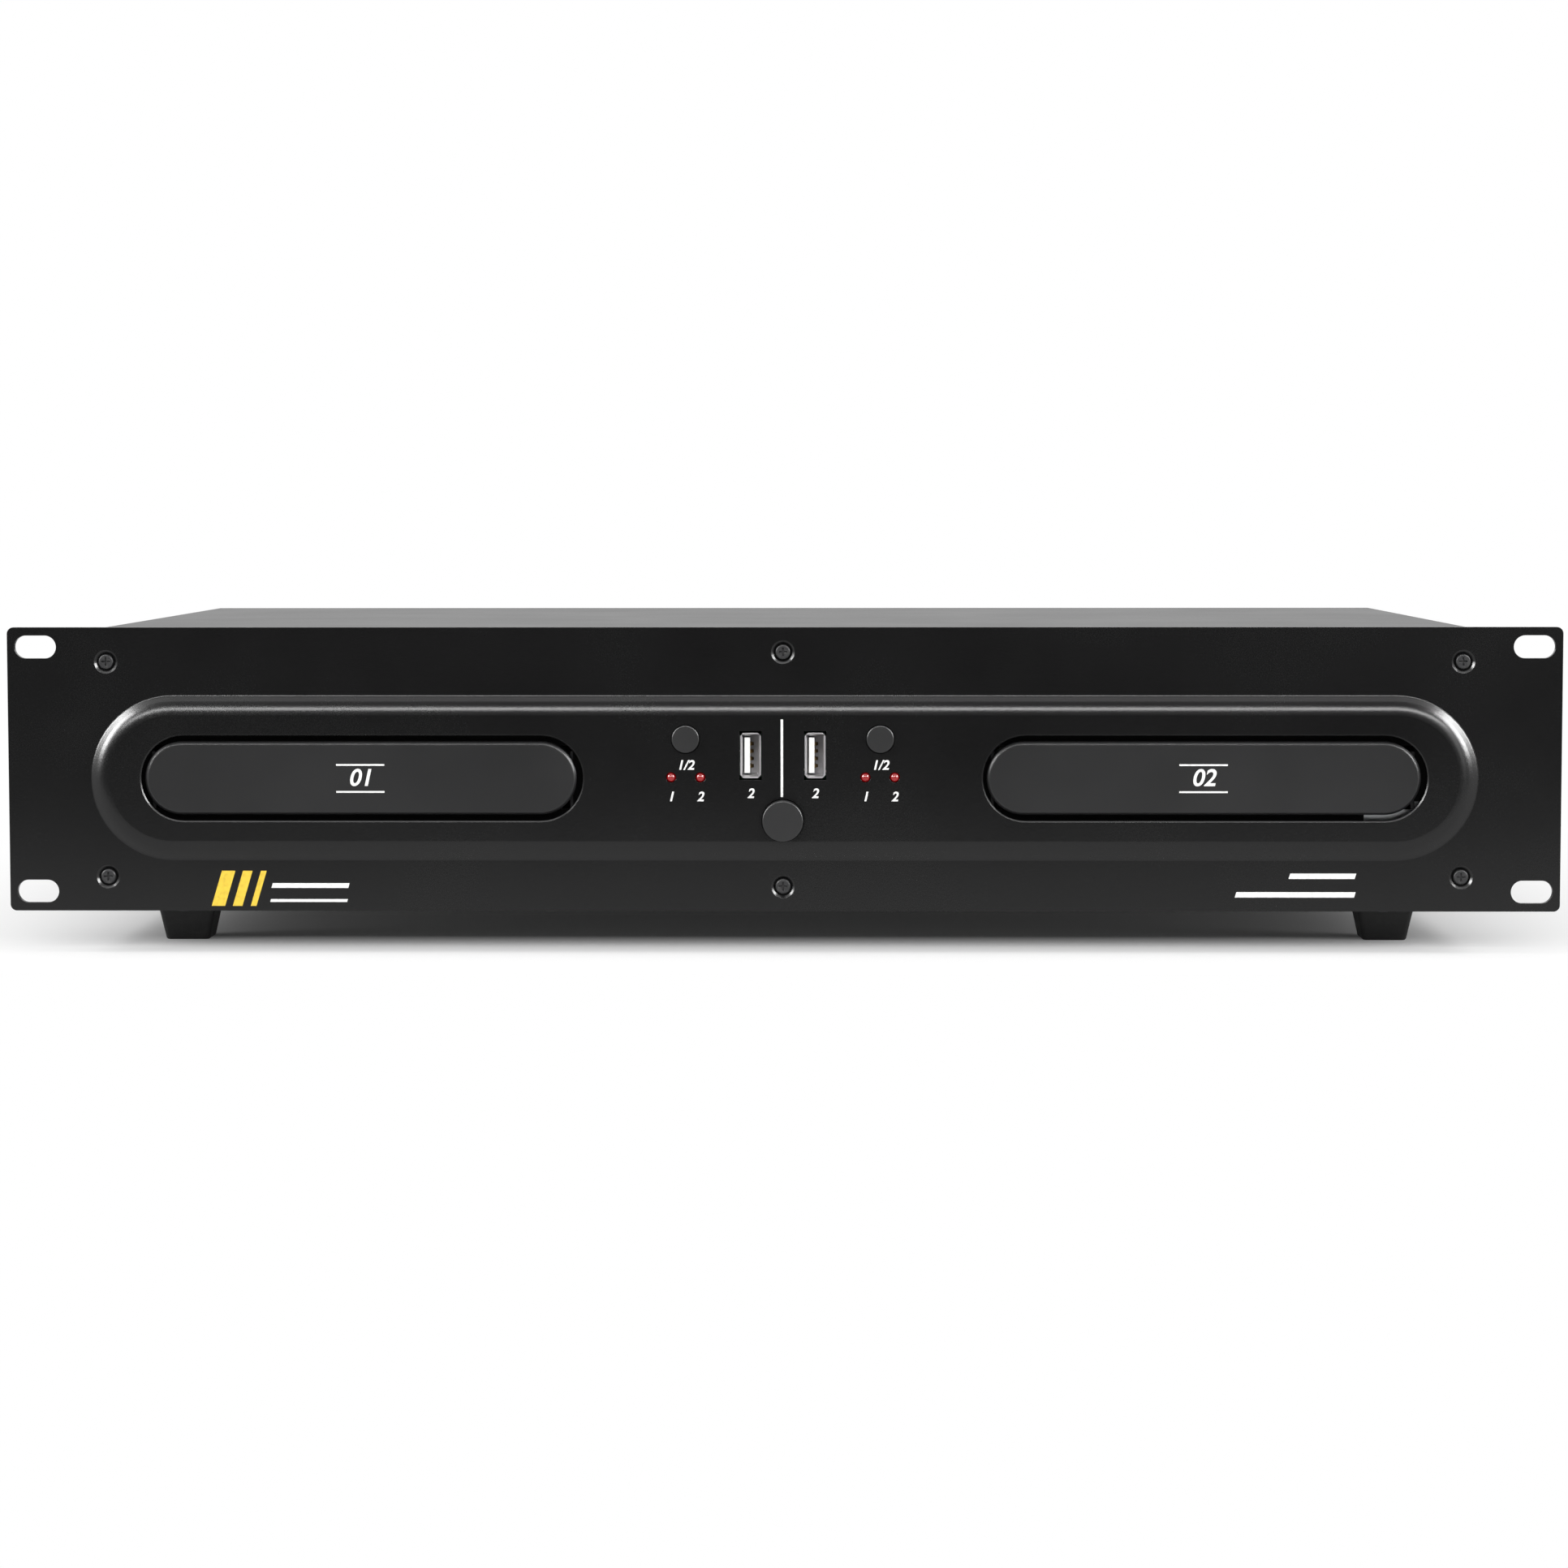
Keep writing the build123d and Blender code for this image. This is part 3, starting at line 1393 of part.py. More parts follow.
with BuildPart() as loader_frame:
    block(-side_outer, side_outer, loader_front, loader_rear, deck_bottom, deck_top)
    block(
        -deck_window_half, deck_window_half, deck_window_front, deck_window_rear,
        deck_bottom, deck_top, Mode.SUBTRACT,
    )
    block(-side_outer, side_outer, loader_front, loader_front + front_wall_t, deck_bottom, front_wall_high)
    block(-side_outer, side_outer, loader_rear - side_t, loader_rear, deck_bottom, rear_wall_high)
    for side in (-1, 1):
        wall_low, wall_far = sorted((side * side_inner, side * side_outer))
        block(wall_low, wall_far, loader_front, loader_rear, deck_bottom, side_high)
        rib_low, rib_high = sorted((side * side_inner, side * (side_inner - guide_w)))
        block(
            rib_low, rib_high, loader_front, loader_rear,
            tray_flange_low - run_gap - guide_t, tray_flange_low - run_gap,
        )
        for front in tab_fronts:
            block(
                rib_low, rib_high, front, front + tab_len,
                tray_top + run_gap, tray_top + run_gap + guide_t,
            )
        # bearing ears of the traverse
        ear_near = side * (deck_window_half + ear_gap)
        ear_low, ear_far = sorted((ear_near, ear_near + side * ear_t))
        block(
            ear_low, ear_far, pivot_depth - ear_half, pivot_depth + ear_half, deck_top, ear_high,
        )
    with Locations(Location((0, depth(pivot_depth), pivot_z), (0, 90, 0))):
        Cylinder(pivot_r + turn_gap, 2 * (deck_window_half + 2 * ear_t), mode=Mode.SUBTRACT)
    # legs with pilot holes, gear posts and the motor's hole
    for x in (-leg_x, leg_x):
        for d in (leg_front, leg_rear):
            post(x, d, floor_z, deck_bottom, leg_r)
            post(x, d, floor_z, deck_bottom, leg_pilot_r, Mode.SUBTRACT)
    post(pinion_x, pinion_depth, deck_top, pinion_high, gear_post_r)
    post(driver_x, pinion_depth, deck_top, driver_high, gear_post_r)
    post(motor_x, pinion_depth, deck_bottom, deck_top, motor_nose_r + 0.2, Mode.SUBTRACT)
    # keeper that holds the cam slider down
    block(cam_left, cam_right + cam_travel, keeper_front, keeper_front + keeper_t, deck_top, keeper_high)
    block(
        cam_left, cam_right + cam_travel, keeper_front, cam_foot_front + 2.0,
        keeper_high, keeper_high + keeper_t,
    )
save_drives(loader_frame.part, "loader_frame")

# ======== clamp bridge and clamp puck ========

bridge_w = 30.0
bridge_t = 1.2
bridge_tab = 6.0
bridge_hole_r = 11.0
puck_neck_gap = 0.1
puck_r = 15.0
puck_low = tray_z + 3.2
puck_t = 2.0
puck_flange_r = 13.0
puck_flange_t = 1.5
bridge_top = side_high + bridge_t

with BuildPart() as clamp_bridge:
    bridge_half = side_outer + sheet_gap + bridge_t
    block(
        -bridge_half, bridge_half, disc_depth - bridge_w / 2, disc_depth + bridge_w / 2,
        side_high, bridge_top,
    )
    for side in (-1, 1):
        tab_low, tab_high = sorted((side * (bridge_half - bridge_t), side * bridge_half))
        block(
            tab_low, tab_high, disc_depth - bridge_w / 2, disc_depth + bridge_w / 2,
            side_high - bridge_tab, side_high,
        )
    post(0, disc_depth, side_high, bridge_top, bridge_hole_r, Mode.SUBTRACT)
save_drives(clamp_bridge.part, "clamp_bridge")

with BuildPart() as clamp_puck:
    post(0, disc_depth, puck_low, puck_low + puck_t, puck_r)
    post(0, disc_depth, puck_low + puck_t, bridge_top + run_gap, bridge_hole_r - puck_neck_gap)
    post(0, disc_depth, bridge_top + run_gap, bridge_top + run_gap + puck_flange_t, puck_flange_r)
    chamfer(clamp_puck.edges().group_by(Axis.Z)[-1], 0.5)
    # hollow that clears the turntable's cone
    post(0, disc_depth, puck_low, puck_low + 1.2, cone_r + 0.6, Mode.SUBTRACT)
save_drives(clamp_puck.part, "clamp_puck")

# ======== ribbon cables ========

ribbon_t = 0.9
ribbon_w = 20.0
ribbon_bend = 4.0
ribbon_above_deck = 1.7
ribbon_plug_rise = 8.0
ribbon_lead = 12.0
ribbon_slope = 16.0
header_top = board_top + header_h
ribbon_rise = deck_top + ribbon_above_deck - header_top
board_back = board_depth + board_t
control_plug_z = board_z - board_h / 2 + ribbon_plug_rise
left_header, middle_header, right_header = headers

with BuildPart() as ribbon_cables:
    # from the control board's back down to the middle header
    with BuildSketch(Plane.YZ.offset(-ribbon_w / 2)):
        with BuildLine():
            FilletPolyline(
                (depth(board_back), control_plug_z),
                (depth(board_back + ribbon_lead), control_plug_z),
                (depth(board_back + ribbon_lead + ribbon_slope), header_top + ribbon_rise),
                (depth(middle_header[1]), header_top + ribbon_rise),
                (depth(middle_header[1]), header_top),
                radius=ribbon_bend,
            )
        trace(line_width=ribbon_t)
    extrude(amount=ribbon_w)
    # from each outer header across to the wall of the loader beside it
    loader_walls = (drive_places["left"] + side_outer, drive_places["right"] - side_outer)
    for header, wall in zip((left_header, right_header), loader_walls):
        with BuildSketch(facing(header[1] - ribbon_w / 2)):
            with BuildLine():
                FilletPolyline(
                    (header[0], header_top),
                    (header[0], header_top + ribbon_rise),
                    (wall, header_top + ribbon_rise),
                    radius=ribbon_bend,
                )
            trace(line_width=ribbon_t)
        extrude(amount=-ribbon_w)
save(ribbon_cables.part, "ribbon_cables")

print("lift angle in degrees:", round(degrees(lift_angle), 4))
print("cam travel per radian in metres:", round(cam_travel / 1000 / lift_angle, 6))
print("panel y:", round(panel_y, 3), "panel z:", round(panel_z, 3), "tray z:", round(tray_z, 3))
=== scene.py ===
import json
import math

import bmesh
import bpy
from mathutils import Matrix, Vector


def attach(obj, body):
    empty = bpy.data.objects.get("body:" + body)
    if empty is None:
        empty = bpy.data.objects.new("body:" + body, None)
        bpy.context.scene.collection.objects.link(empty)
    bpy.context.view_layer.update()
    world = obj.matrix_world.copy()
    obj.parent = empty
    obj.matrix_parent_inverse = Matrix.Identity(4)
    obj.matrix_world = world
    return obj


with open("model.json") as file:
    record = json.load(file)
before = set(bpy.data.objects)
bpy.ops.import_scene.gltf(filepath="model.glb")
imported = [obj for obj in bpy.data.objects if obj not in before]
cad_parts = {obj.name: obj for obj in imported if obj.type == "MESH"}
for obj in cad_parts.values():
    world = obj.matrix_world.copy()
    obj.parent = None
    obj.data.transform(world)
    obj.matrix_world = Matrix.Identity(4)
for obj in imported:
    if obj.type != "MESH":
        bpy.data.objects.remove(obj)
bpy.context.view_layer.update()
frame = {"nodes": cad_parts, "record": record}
nodes = frame["nodes"]
print("frame loaded,", len(nodes), "nodes")

# places on the player, in millimetres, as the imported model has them
plateauFace = -131.2
doorFace = -131.0
panelFace = -128.7
driveMiddle = {"left": -131.2, "right": 130.4}


def metres(*lengths):
    return tuple(length / 1000 for length in lengths)


# finishes


class Wire:
    # one socket of a finish, so that sums of patterns read as plain arithmetic
    def __init__(self, finish, socket):
        self.finish = finish
        self.socket = socket

    def sum(self, operation, first, second=0.0):
        return self.finish.node("ShaderNodeMath", {"operation": operation}, {0: first, 1: second})

    def __add__(self, other):
        return self.sum("ADD", self, other)

    def __radd__(self, other):
        return self.sum("ADD", other, self)

    def __sub__(self, other):
        return self.sum("SUBTRACT", self, other)

    def __rsub__(self, other):
        return self.sum("SUBTRACT", other, self)

    def __mul__(self, other):
        return self.sum("MULTIPLY", self, other)

    def __rmul__(self, other):
        return self.sum("MULTIPLY", other, self)

    def __truediv__(self, other):
        return self.sum("DIVIDE", self, other)

    def __rtruediv__(self, other):
        return self.sum("DIVIDE", other, self)

    def __abs__(self):
        return self.sum("ABSOLUTE", self)

    def __neg__(self):
        return self.sum("MULTIPLY", self, -1.0)

    def __gt__(self, other):
        return self.sum("GREATER_THAN", self, other)

    def __lt__(self, other):
        return self.sum("LESS_THAN", self, other)


class Finish:
    # a material that is put together node by node
    def __init__(self, name, holder=None):
        self.material = holder or bpy.data.materials.new(name)
        self.material.use_nodes = True
        self.tree = self.material.node_tree
        self.tree.nodes.clear()

    def node(self, kind, settings=None, sockets=None, output=0):
        made = self.tree.nodes.new(kind)
        for name, value in (settings or {}).items():
            if name == "stops":
                steps = made.color_ramp.elements
                while len(steps) < len(value):
                    steps.new(0.5)
                for step, (position, shade) in zip(steps, value):
                    step.position = position
                    step.color = (shade, shade, shade, 1)
            else:
                setattr(made, name, value)
        for name, value in (sockets or {}).items():
            if isinstance(value, Wire):
                self.tree.links.new(value.socket, made.inputs[name])
            else:
                made.inputs[name].default_value = value
        return Wire(self, made.outputs[output]) if output is not None else made

    def place(self):
        return self.node("ShaderNodeTexCoord", output="Object")

    def axes(self):
        # the three object coordinates in metres
        split = self.node("ShaderNodeSeparateXYZ", sockets={0: self.place()}, output=None)
        return [Wire(self, socket) for socket in split.outputs]

    def grain(self, size, detail=2.0, stretch=None):
        # soft noise whose lumps are about this many millimetres across
        place = self.place()
        if stretch:
            place = self.node("ShaderNodeMapping", sockets={"Vector": place, "Scale": stretch})
        return self.node(
            "ShaderNodeTexNoise", sockets={"Vector": place, "Scale": 1000 / size, "Detail": detail}
        )

    def cells(self, size):
        # distance to the nearest of many points that lie about this many millimetres apart
        return self.node("ShaderNodeTexVoronoi", sockets={"Vector": self.place(), "Scale": 1000 / size})

    def ramp(self, value, *stops):
        return self.node("ShaderNodeValToRGB", {"stops": stops}, {0: value})

    def mix(self, share, low, high):
        # colour between two colours
        return self.node(
            "ShaderNodeMix", {"data_type": "RGBA"}, {0: share, 6: self.rgba(low), 7: self.rgba(high)}, 2
        )

    def rgba(self, colour):
        return colour if isinstance(colour, Wire) else (*colour, 1)

    def seenRays(self):
        # 1 for rays from the camera and off shiny things, 0 for rays that only bring light
        path = self.node("ShaderNodeLightPath", output=None)
        camera, glossy, clear = (
            Wire(self, path.outputs[f"Is {kind} Ray"]) for kind in ("Camera", "Glossy", "Transmission")
        )
        return camera + glossy + clear

    def bump(self, height, depth, under=None):
        # depth in millimetres for a height from 0 to 1
        sockets = {"Height": height, "Distance": depth / 1000, "Strength": 1.0}
        if under:
            sockets["Normal"] = under
        return self.node("ShaderNodeBump", sockets=sockets, output="Normal")

    def rounded(self, radius):
        # normals as if each sharp edge had this radius in millimetres
        return self.node("ShaderNodeBevel", {"samples": 4}, {"Radius": radius / 1000})

    def surface(self, colour, **sockets):
        names = {name[0].upper() + name[1:]: value for name, value in sockets.items()}
        names["Base Color"] = self.rgba(colour)
        names = {name.replace("_", " "): value for name, value in names.items()}
        shader = self.node("ShaderNodeBsdfPrincipled", sockets=names)
        self.node("ShaderNodeOutputMaterial", sockets={"Surface": shader}, output=None)
        return self.material


finishes = {}


def powderCoat(name, shade, grainSize, grainDepth, roughness, shine):
    # fine textured black coat: close lumps, a few larger ones and faint smears from handling
    coat = Finish(name)
    lumps = coat.grain(grainSize, 3.0)
    pits = coat.cells(grainSize * 1.6)
    smear = coat.grain(45.0, 4.0)
    flecks = coat.ramp(coat.grain(grainSize * 0.9, 1.0), (0.62, 0.0), (0.78, 1.0))
    tone = coat.mix(smear, [part * 0.85 for part in shade], [part * 1.15 for part in shade])
    tone = coat.mix(flecks * 0.35, tone, [part * 3.2 for part in shade])
    height = lumps * 0.75 + pits * 0.35
    normal = coat.bump(height, grainDepth, coat.rounded(0.15))
    return coat.surface(
        tone, roughness=roughness + smear * 0.08 + lumps * 0.06, specular_IOR_Level=shine, normal=normal
    )


def mouldedPlastic(name, shade, roughness, grainSize=0.25, grainDepth=0.006, edge=0.15):
    # spark-textured or satin moulding with a little flow in its tone
    plastic = Finish(name)
    flow = plastic.grain(30.0, 3.0)
    fine = plastic.grain(grainSize, 2.0)
    tone = plastic.mix(flow, [part * 0.9 for part in shade], [part * 1.1 for part in shade])
    normal = plastic.bump(fine, grainDepth, plastic.rounded(edge))
    return plastic.surface(tone, roughness=roughness + flow * 0.06 + fine * 0.04, normal=normal)


def rolledMetal(name, shade, roughness, lines, grainDepth=0.003, spangle=0.0):
    # bare or plated metal with drawing lines along one axis, and zinc flakes where spangle is above 0
    flakesPerMetre = 220.0
    metal = Finish(name)
    scratches = metal.grain(1.2, 4.0, lines)
    flakes = metal.node(
        "ShaderNodeTexVoronoi", sockets={"Vector": metal.place(), "Scale": flakesPerMetre}, output="Color"
    )
    patch = metal.node("ShaderNodeSeparateColor", sockets={0: flakes})
    stain = metal.grain(22.0, 4.0)
    dark = [part * 0.82 for part in shade]
    tone = metal.mix(stain * 0.6 + patch * spangle, dark, shade)
    normal = metal.bump(scratches, grainDepth, metal.rounded(0.1))
    return metal.surface(
        tone, metallic=1.0, roughness=roughness + scratches * 0.14 + patch * (spangle * 0.2), normal=normal
    )


finishes["panel_paint"] = powderCoat("panelCoat", (0.0013, 0.0013, 0.0014), 0.55, 0.016, 0.19, 0.39)
finishes["cover_paint"] = powderCoat("coverCoat", (0.005, 0.005, 0.0053), 0.75, 0.06, 0.29, 0.32)
finishes["door_plastic"] = mouldedPlastic("doorMoulding", (0.006, 0.006, 0.0064), 0.27, 0.12, 0.001, 0.7)
finishes["button_plastic"] = mouldedPlastic("buttonMoulding", (0.0076, 0.0076, 0.008), 0.3, 0.16, 0.003, 0.12)
finishes["tray_plastic"] = mouldedPlastic("trayMoulding", (0.02, 0.02, 0.021), 0.5, 0.3, 0.012)
finishes["loader_plastic"] = mouldedPlastic("loaderMoulding", (0.03, 0.03, 0.031), 0.48, 0.35, 0.01)
finishes["traverse_plastic"] = mouldedPlastic("traverseMoulding", (0.045, 0.045, 0.048), 0.55, 0.5, 0.015)
finishes["turntable_plastic"] = mouldedPlastic("turntableMoulding", (0.04, 0.04, 0.04), 0.42)
finishes["gear_plastic"] = mouldedPlastic("acetalMoulding", (0.78, 0.76, 0.7), 0.36, 0.2, 0.003)
finishes["switch_black"] = mouldedPlastic("switchMoulding", (0.025, 0.025, 0.026), 0.4)
finishes["usb_tongue_plastic"] = mouldedPlastic("tongueMoulding", (0.7, 0.7, 0.68), 0.38, 0.15, 0.002, 0.08)
finishes["zinc_steel"] = rolledMetal("zincSheet", (0.6, 0.61, 0.62), 0.3, (0.15, 1, 1), 0.004, 0.5)
finishes["motor_can"] = rolledMetal("motorCan", (0.62, 0.62, 0.61), 0.24, (1, 1, 0.12))
finishes["bright_steel"] = rolledMetal("groundSteel", (0.7, 0.7, 0.69), 0.12, (1, 0.1, 1), 0.001)
finishes["usb_plate"] = rolledMetal("tinPlate", (0.49, 0.48, 0.49), 0.3, (1, 1, 0.15), 0.002)
# gold flash, kept darker than bare gold as painted shade for the contacts and springs deep inside the sockets
finishes["contact_gold"] = rolledMetal("goldFlashShaded", (0.4, 0.27, 0.11), 0.3, (1, 0.2, 1), 0.001)
finishes["spacer_brass"] = rolledMetal("turnedBrass", (0.72, 0.53, 0.25), 0.26, (1, 1, 0.1))
finishes["pickup_metal"] = rolledMetal("dieCast", (0.34, 0.34, 0.36), 0.42, (1, 1, 1), 0.012)
finishes["core_steel"] = rolledMetal("laminations", (0.3, 0.29, 0.28), 0.42, (0.6, 6, 0.6), 0.06)


def blackScrew():
    # black zinc over turned steel, a little brighter where the driver has rubbed
    screw = Finish("blackScrew")
    turning = screw.grain(0.35, 3.0)
    rubbed = screw.ramp(screw.grain(1.6, 3.0), (0.52, 0.0), (0.72, 1.0))
    tone = screw.mix(rubbed * 0.5, (0.026, 0.026, 0.027), (0.1, 0.098, 0.096))
    normal = screw.bump(turning, 0.006, screw.rounded(0.2))
    return screw.surface(tone, metallic=0.55, roughness=0.34 - rubbed * 0.1 + turning * 0.12, normal=normal)


def subpanelSheet():
    # zinc sheet with painted shade round both tray slots, a near-black patch for the dark gap beside the
    # doors, which stops short at one lower corner
    slot = {"middle": -0.0004, "aside": 0.1308, "half": 0.0745, "height": 0.055, "reach": 0.02}
    bare = {"left": 0.1805, "top": 0.0475}
    sheet = Finish("subpanelSheet")
    across, along, up = sheet.axes()
    scratches = sheet.grain(1.2, 4.0, (0.15, 1, 1))
    fineGrain = sheet.grain(0.12, 2.0)
    near = abs(abs(across - slot["middle"]) - slot["aside"]) < slot["half"]
    corner = (across > bare["left"]) * (up < bare["top"])
    # painted shade: near-black, rough and not metal where the dark gap round the doors would be, left out at
    # one lower corner
    gapShade = near * (abs(up - slot["height"]) < slot["reach"]) * (1.0 - corner)
    tone = sheet.mix(gapShade, (0.6, 0.61, 0.62), (0.0025, 0.0025, 0.0025))
    return sheet.surface(
        tone, metallic=1.0 - gapShade, roughness=0.32 + scratches * 0.14 + gapShade * 0.5,
        specular_IOR_Level=0.1, normal=sheet.bump(scratches * 0.4 + fineGrain * gapShade, 0.01),
    )


def footRubber():
    # matt black rubber with a little dust close to the floor
    rubber = Finish("footRubber")
    skin = rubber.grain(0.5, 3.0)
    dust = rubber.ramp(rubber.grain(5.0, 5.0), (0.5, 0.0), (0.8, 1.0))
    across, along, up = rubber.axes()
    low = rubber.ramp(up * 70, (0.0, 1.0), (1.0, 0.0))
    tone = rubber.mix(dust * low * 0.35, (0.016, 0.016, 0.016), (0.07, 0.068, 0.065))
    normal = rubber.bump(skin, 0.03, rubber.rounded(0.4))
    return rubber.surface(tone, roughness=0.62 + skin * 0.12, normal=normal)


def beltRubber():
    # ground black rubber
    rubber = Finish("beltRubber")
    skin = rubber.grain(0.2, 2.0)
    tone = rubber.mix(skin, (0.012, 0.012, 0.012), (0.022, 0.022, 0.022))
    return rubber.surface(tone, roughness=0.55 + skin * 0.1, normal=rubber.bump(skin, 0.008))


def lampLens():
    # clouded red resin that is unlit but for a faint glow of its own
    lens = Finish("redLens")
    swirl = lens.grain(0.9, 2.0)
    tone = lens.mix(swirl, (0.16, 0.002, 0.003), (0.3, 0.006, 0.008))
    return lens.surface(
        tone, roughness=0.2 + swirl * 0.08, coat_Weight=0.25, coat_Roughness=0.12,
        emission_Color=(0.5, 0.01, 0.012, 1), emission_Strength=0.06, normal=lens.bump(swirl, 0.01),
    )


def boardGreen():
    # solder mask over copper tracks, with rows of bright pads
    board = Finish("boardMask")
    tracks = board.node(
        "ShaderNodeTexBrick", {"offset": 0.37, "squash": 1.6, "squash_frequency": 3},
        {"Vector": board.place(), "Scale": 320.0, "Mortar Size": 0.035, "Mortar Smooth": 0.2}, "Fac",
    )
    pads = board.ramp(board.cells(3.2), (0.1, 1.0), (0.14, 0.0))
    weave = board.grain(0.6, 2.0)
    tone = board.mix(tracks, (0.014, 0.085, 0.032), (0.03, 0.16, 0.055))
    tone = board.mix(pads, tone, (0.62, 0.6, 0.54))
    height = tracks * 0.6 + pads * 0.8 + weave * 0.1
    return board.surface(
        tone, metallic=pads * 0.9, roughness=0.3 + weave * 0.12, normal=board.bump(height, 0.05)
    )


def mixedComponents():
    # moulded chips, sleeved capacitors and a bare heat sink, told apart by where they stand
    heatSink = {"left": 0.0405, "front": 0.058}
    capacitor = {"right": 0.024, "front": 0.062, "lid": 0.0404}
    parts = Finish("boardParts")
    across, along, up = parts.axes()
    sink = (across > heatSink["left"]) * (along > heatSink["front"])
    cans = (along > capacitor["front"]) * (across < capacitor["right"])
    tops = cans * (up > capacitor["lid"])
    ribs = parts.grain(0.5, 2.0)
    tone = parts.mix(cans, (0.022, 0.022, 0.023), (0.012, 0.014, 0.05))
    tone = parts.mix(tops, tone, (0.62, 0.62, 0.62))
    tone = parts.mix(sink, tone, (0.5, 0.5, 0.51))
    normal = parts.bump(ribs, 0.01)
    return parts.surface(tone, metallic=sink + tops, roughness=0.3 + ribs * 0.2, normal=normal)


def tapedWinding():
    # yellow tape in overlapping turns round the bobbin
    tape = Finish("windingTape")
    turns = tape.node(
        "ShaderNodeTexWave", {"bands_direction": "Z", "wave_profile": "SAW"},
        {"Vector": tape.place(), "Scale": 26.0, "Distortion": 0.6, "Detail": 2.0}, "Fac",
    )
    creases = tape.grain(2.5, 3.0)
    tone = tape.mix(turns * 0.6 + creases * 0.4, (0.5, 0.33, 0.05), (0.72, 0.5, 0.1))
    normal = tape.bump(turns + creases * 0.3, 0.12)
    return tape.surface(tone, roughness=0.3 + creases * 0.15, normal=normal)


def ribbonCable():
    # flat grey cable of many cores
    corePitch = 0.00064
    ribbon = Finish("ribbonCable")
    across, along, up = ribbon.axes()
    cores = ribbon.node("ShaderNodeMath", {"operation": "PINGPONG"}, {0: across + along, 1: corePitch})
    ridge = cores / corePitch
    skin = ribbon.grain(4.0, 2.0)
    tone = ribbon.mix(ridge * 0.7 + skin * 0.3, (0.3, 0.3, 0.31), (0.55, 0.55, 0.56))
    return ribbon.surface(tone, roughness=0.42 + skin * 0.08, normal=ribbon.bump(ridge, 0.18))


def rearConnectors():
    # black mouldings with plated sleeves and pins, told apart by where they stand behind the rear wall
    jacks = {"front": 0.1283, "middle": -0.027, "half": 0.0345, "top": 0.046}
    pin = {
        "middle": 0.165, "aside": 0.007, "half": 0.00105, "halfTall": 0.00205,
        "live": 0.0529, "earth": 0.0579,
    }
    body = Finish("rearConnectors")
    across, along, up = body.axes()
    skin = body.grain(0.25, 2.0)
    sleeves = (along > jacks["front"]) * (abs(across - jacks["middle"]) < jacks["half"]) * (up < jacks["top"])
    tab = abs(abs(across - pin["middle"]) - pin["aside"]) < pin["half"]
    earth = abs(across - pin["middle"]) < pin["half"]
    live = tab * (abs(up - pin["live"]) < pin["halfTall"])
    middle = earth * (abs(up - pin["earth"]) < pin["halfTall"])
    plated = body.node("ShaderNodeMath", {"operation": "MAXIMUM"}, {0: live, 1: middle})
    plated = body.node("ShaderNodeMath", {"operation": "MAXIMUM"}, {0: plated, 1: sleeves})
    tone = body.mix(plated, (0.02, 0.02, 0.021), (0.66, 0.65, 0.62))
    normal = body.bump(skin, 0.006, body.rounded(0.12))
    rough = 0.42 - plated * 0.2 + skin * 0.06
    return body.surface(tone, metallic=plated, roughness=rough, normal=normal)


finishes["black_screw"] = blackScrew()
finishes["foot_rubber"] = footRubber()
subpanelFinish = subpanelSheet()
finishes["belt_rubber"] = beltRubber()
finishes["led_red"] = lampLens()
finishes["board_green"] = boardGreen()
finishes["component_black"] = mixedComponents()
finishes["winding_copper"] = tapedWinding()
finishes["ribbon_grey"] = ribbonCable()
finishes["connector_black"] = rearConnectors()

for part in frame["record"]["subparts"]:
    node = nodes[part["node"]]
    node.data.materials.clear()
    own = subpanelFinish if part["node"] == "front_subpanel" else finishes[part["material_slot"]]
    node.data.materials.append(own)
print("finishes made,", len(finishes))


def printInk(name, shade):
    # screen-printed ink, a little thin at places
    ink = Finish(name)
    mesh = ink.grain(0.3, 2.0)
    thin = ink.ramp(ink.grain(1.4, 3.0), (0.3, 0.0), (0.55, 1.0))
    tone = ink.mix(thin, [part * 0.8 for part in shade], shade)
    return ink.surface(tone, roughness=0.42 + mesh * 0.15, normal=ink.bump(mesh, 0.004))


whiteInk = printInk("whiteInk", (0.8, 0.8, 0.79))
yellowInk = printInk("yellowInk", (0.75, 0.52, 0.05))
insulatorRed = mouldedPlastic("redInsulator", (0.5, 0.02, 0.02), 0.35)
insulatorWhite = mouldedPlastic("whiteInsulator", (0.78, 0.78, 0.76), 0.35)
# near-black discs: painted shade for the deep pin holes of the control sockets
holeShade = mouldedPlastic("holeShade", (0.004, 0.004, 0.004), 0.6)

# modelling steps shared by the pieces


def deselect():
    if bpy.context.mode != "OBJECT":
        bpy.ops.object.mode_set(mode="OBJECT")
    bpy.ops.object.select_all(action="DESELECT")


def pickFaces(test):
    # selects the faces whose middle and normal pass the test
    bpy.ops.mesh.select_mode(type="FACE")
    bpy.ops.mesh.select_all(action="DESELECT")
    mesh = bmesh.from_edit_mesh(bpy.context.object.data)
    for face in mesh.faces:
        face.select = test(face.calc_center_median(), face.normal)
    mesh.select_flush_mode()
    bmesh.update_edit_mesh(bpy.context.object.data)


def pickPoints(test):
    bpy.ops.mesh.select_mode(type="VERT")
    bpy.ops.mesh.select_all(action="DESELECT")
    mesh = bmesh.from_edit_mesh(bpy.context.object.data)
    for point in mesh.verts:
        point.select = test(point.co)
    mesh.select_flush_mode()
    bmesh.update_edit_mesh(bpy.context.object.data)


def settle(piece, name, body, material):
    # names a finished piece, puts its place into its mesh and lets it ride on its body
    deselect()
    piece.select_set(True)
    bpy.context.view_layer.objects.active = piece
    bpy.ops.object.transform_apply(location=True, rotation=True, scale=True)
    piece.name = name
    piece.data.name = name
    piece.data.materials.clear()
    piece.data.materials.append(material)
    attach(piece, body)


inkThickness = 0.03


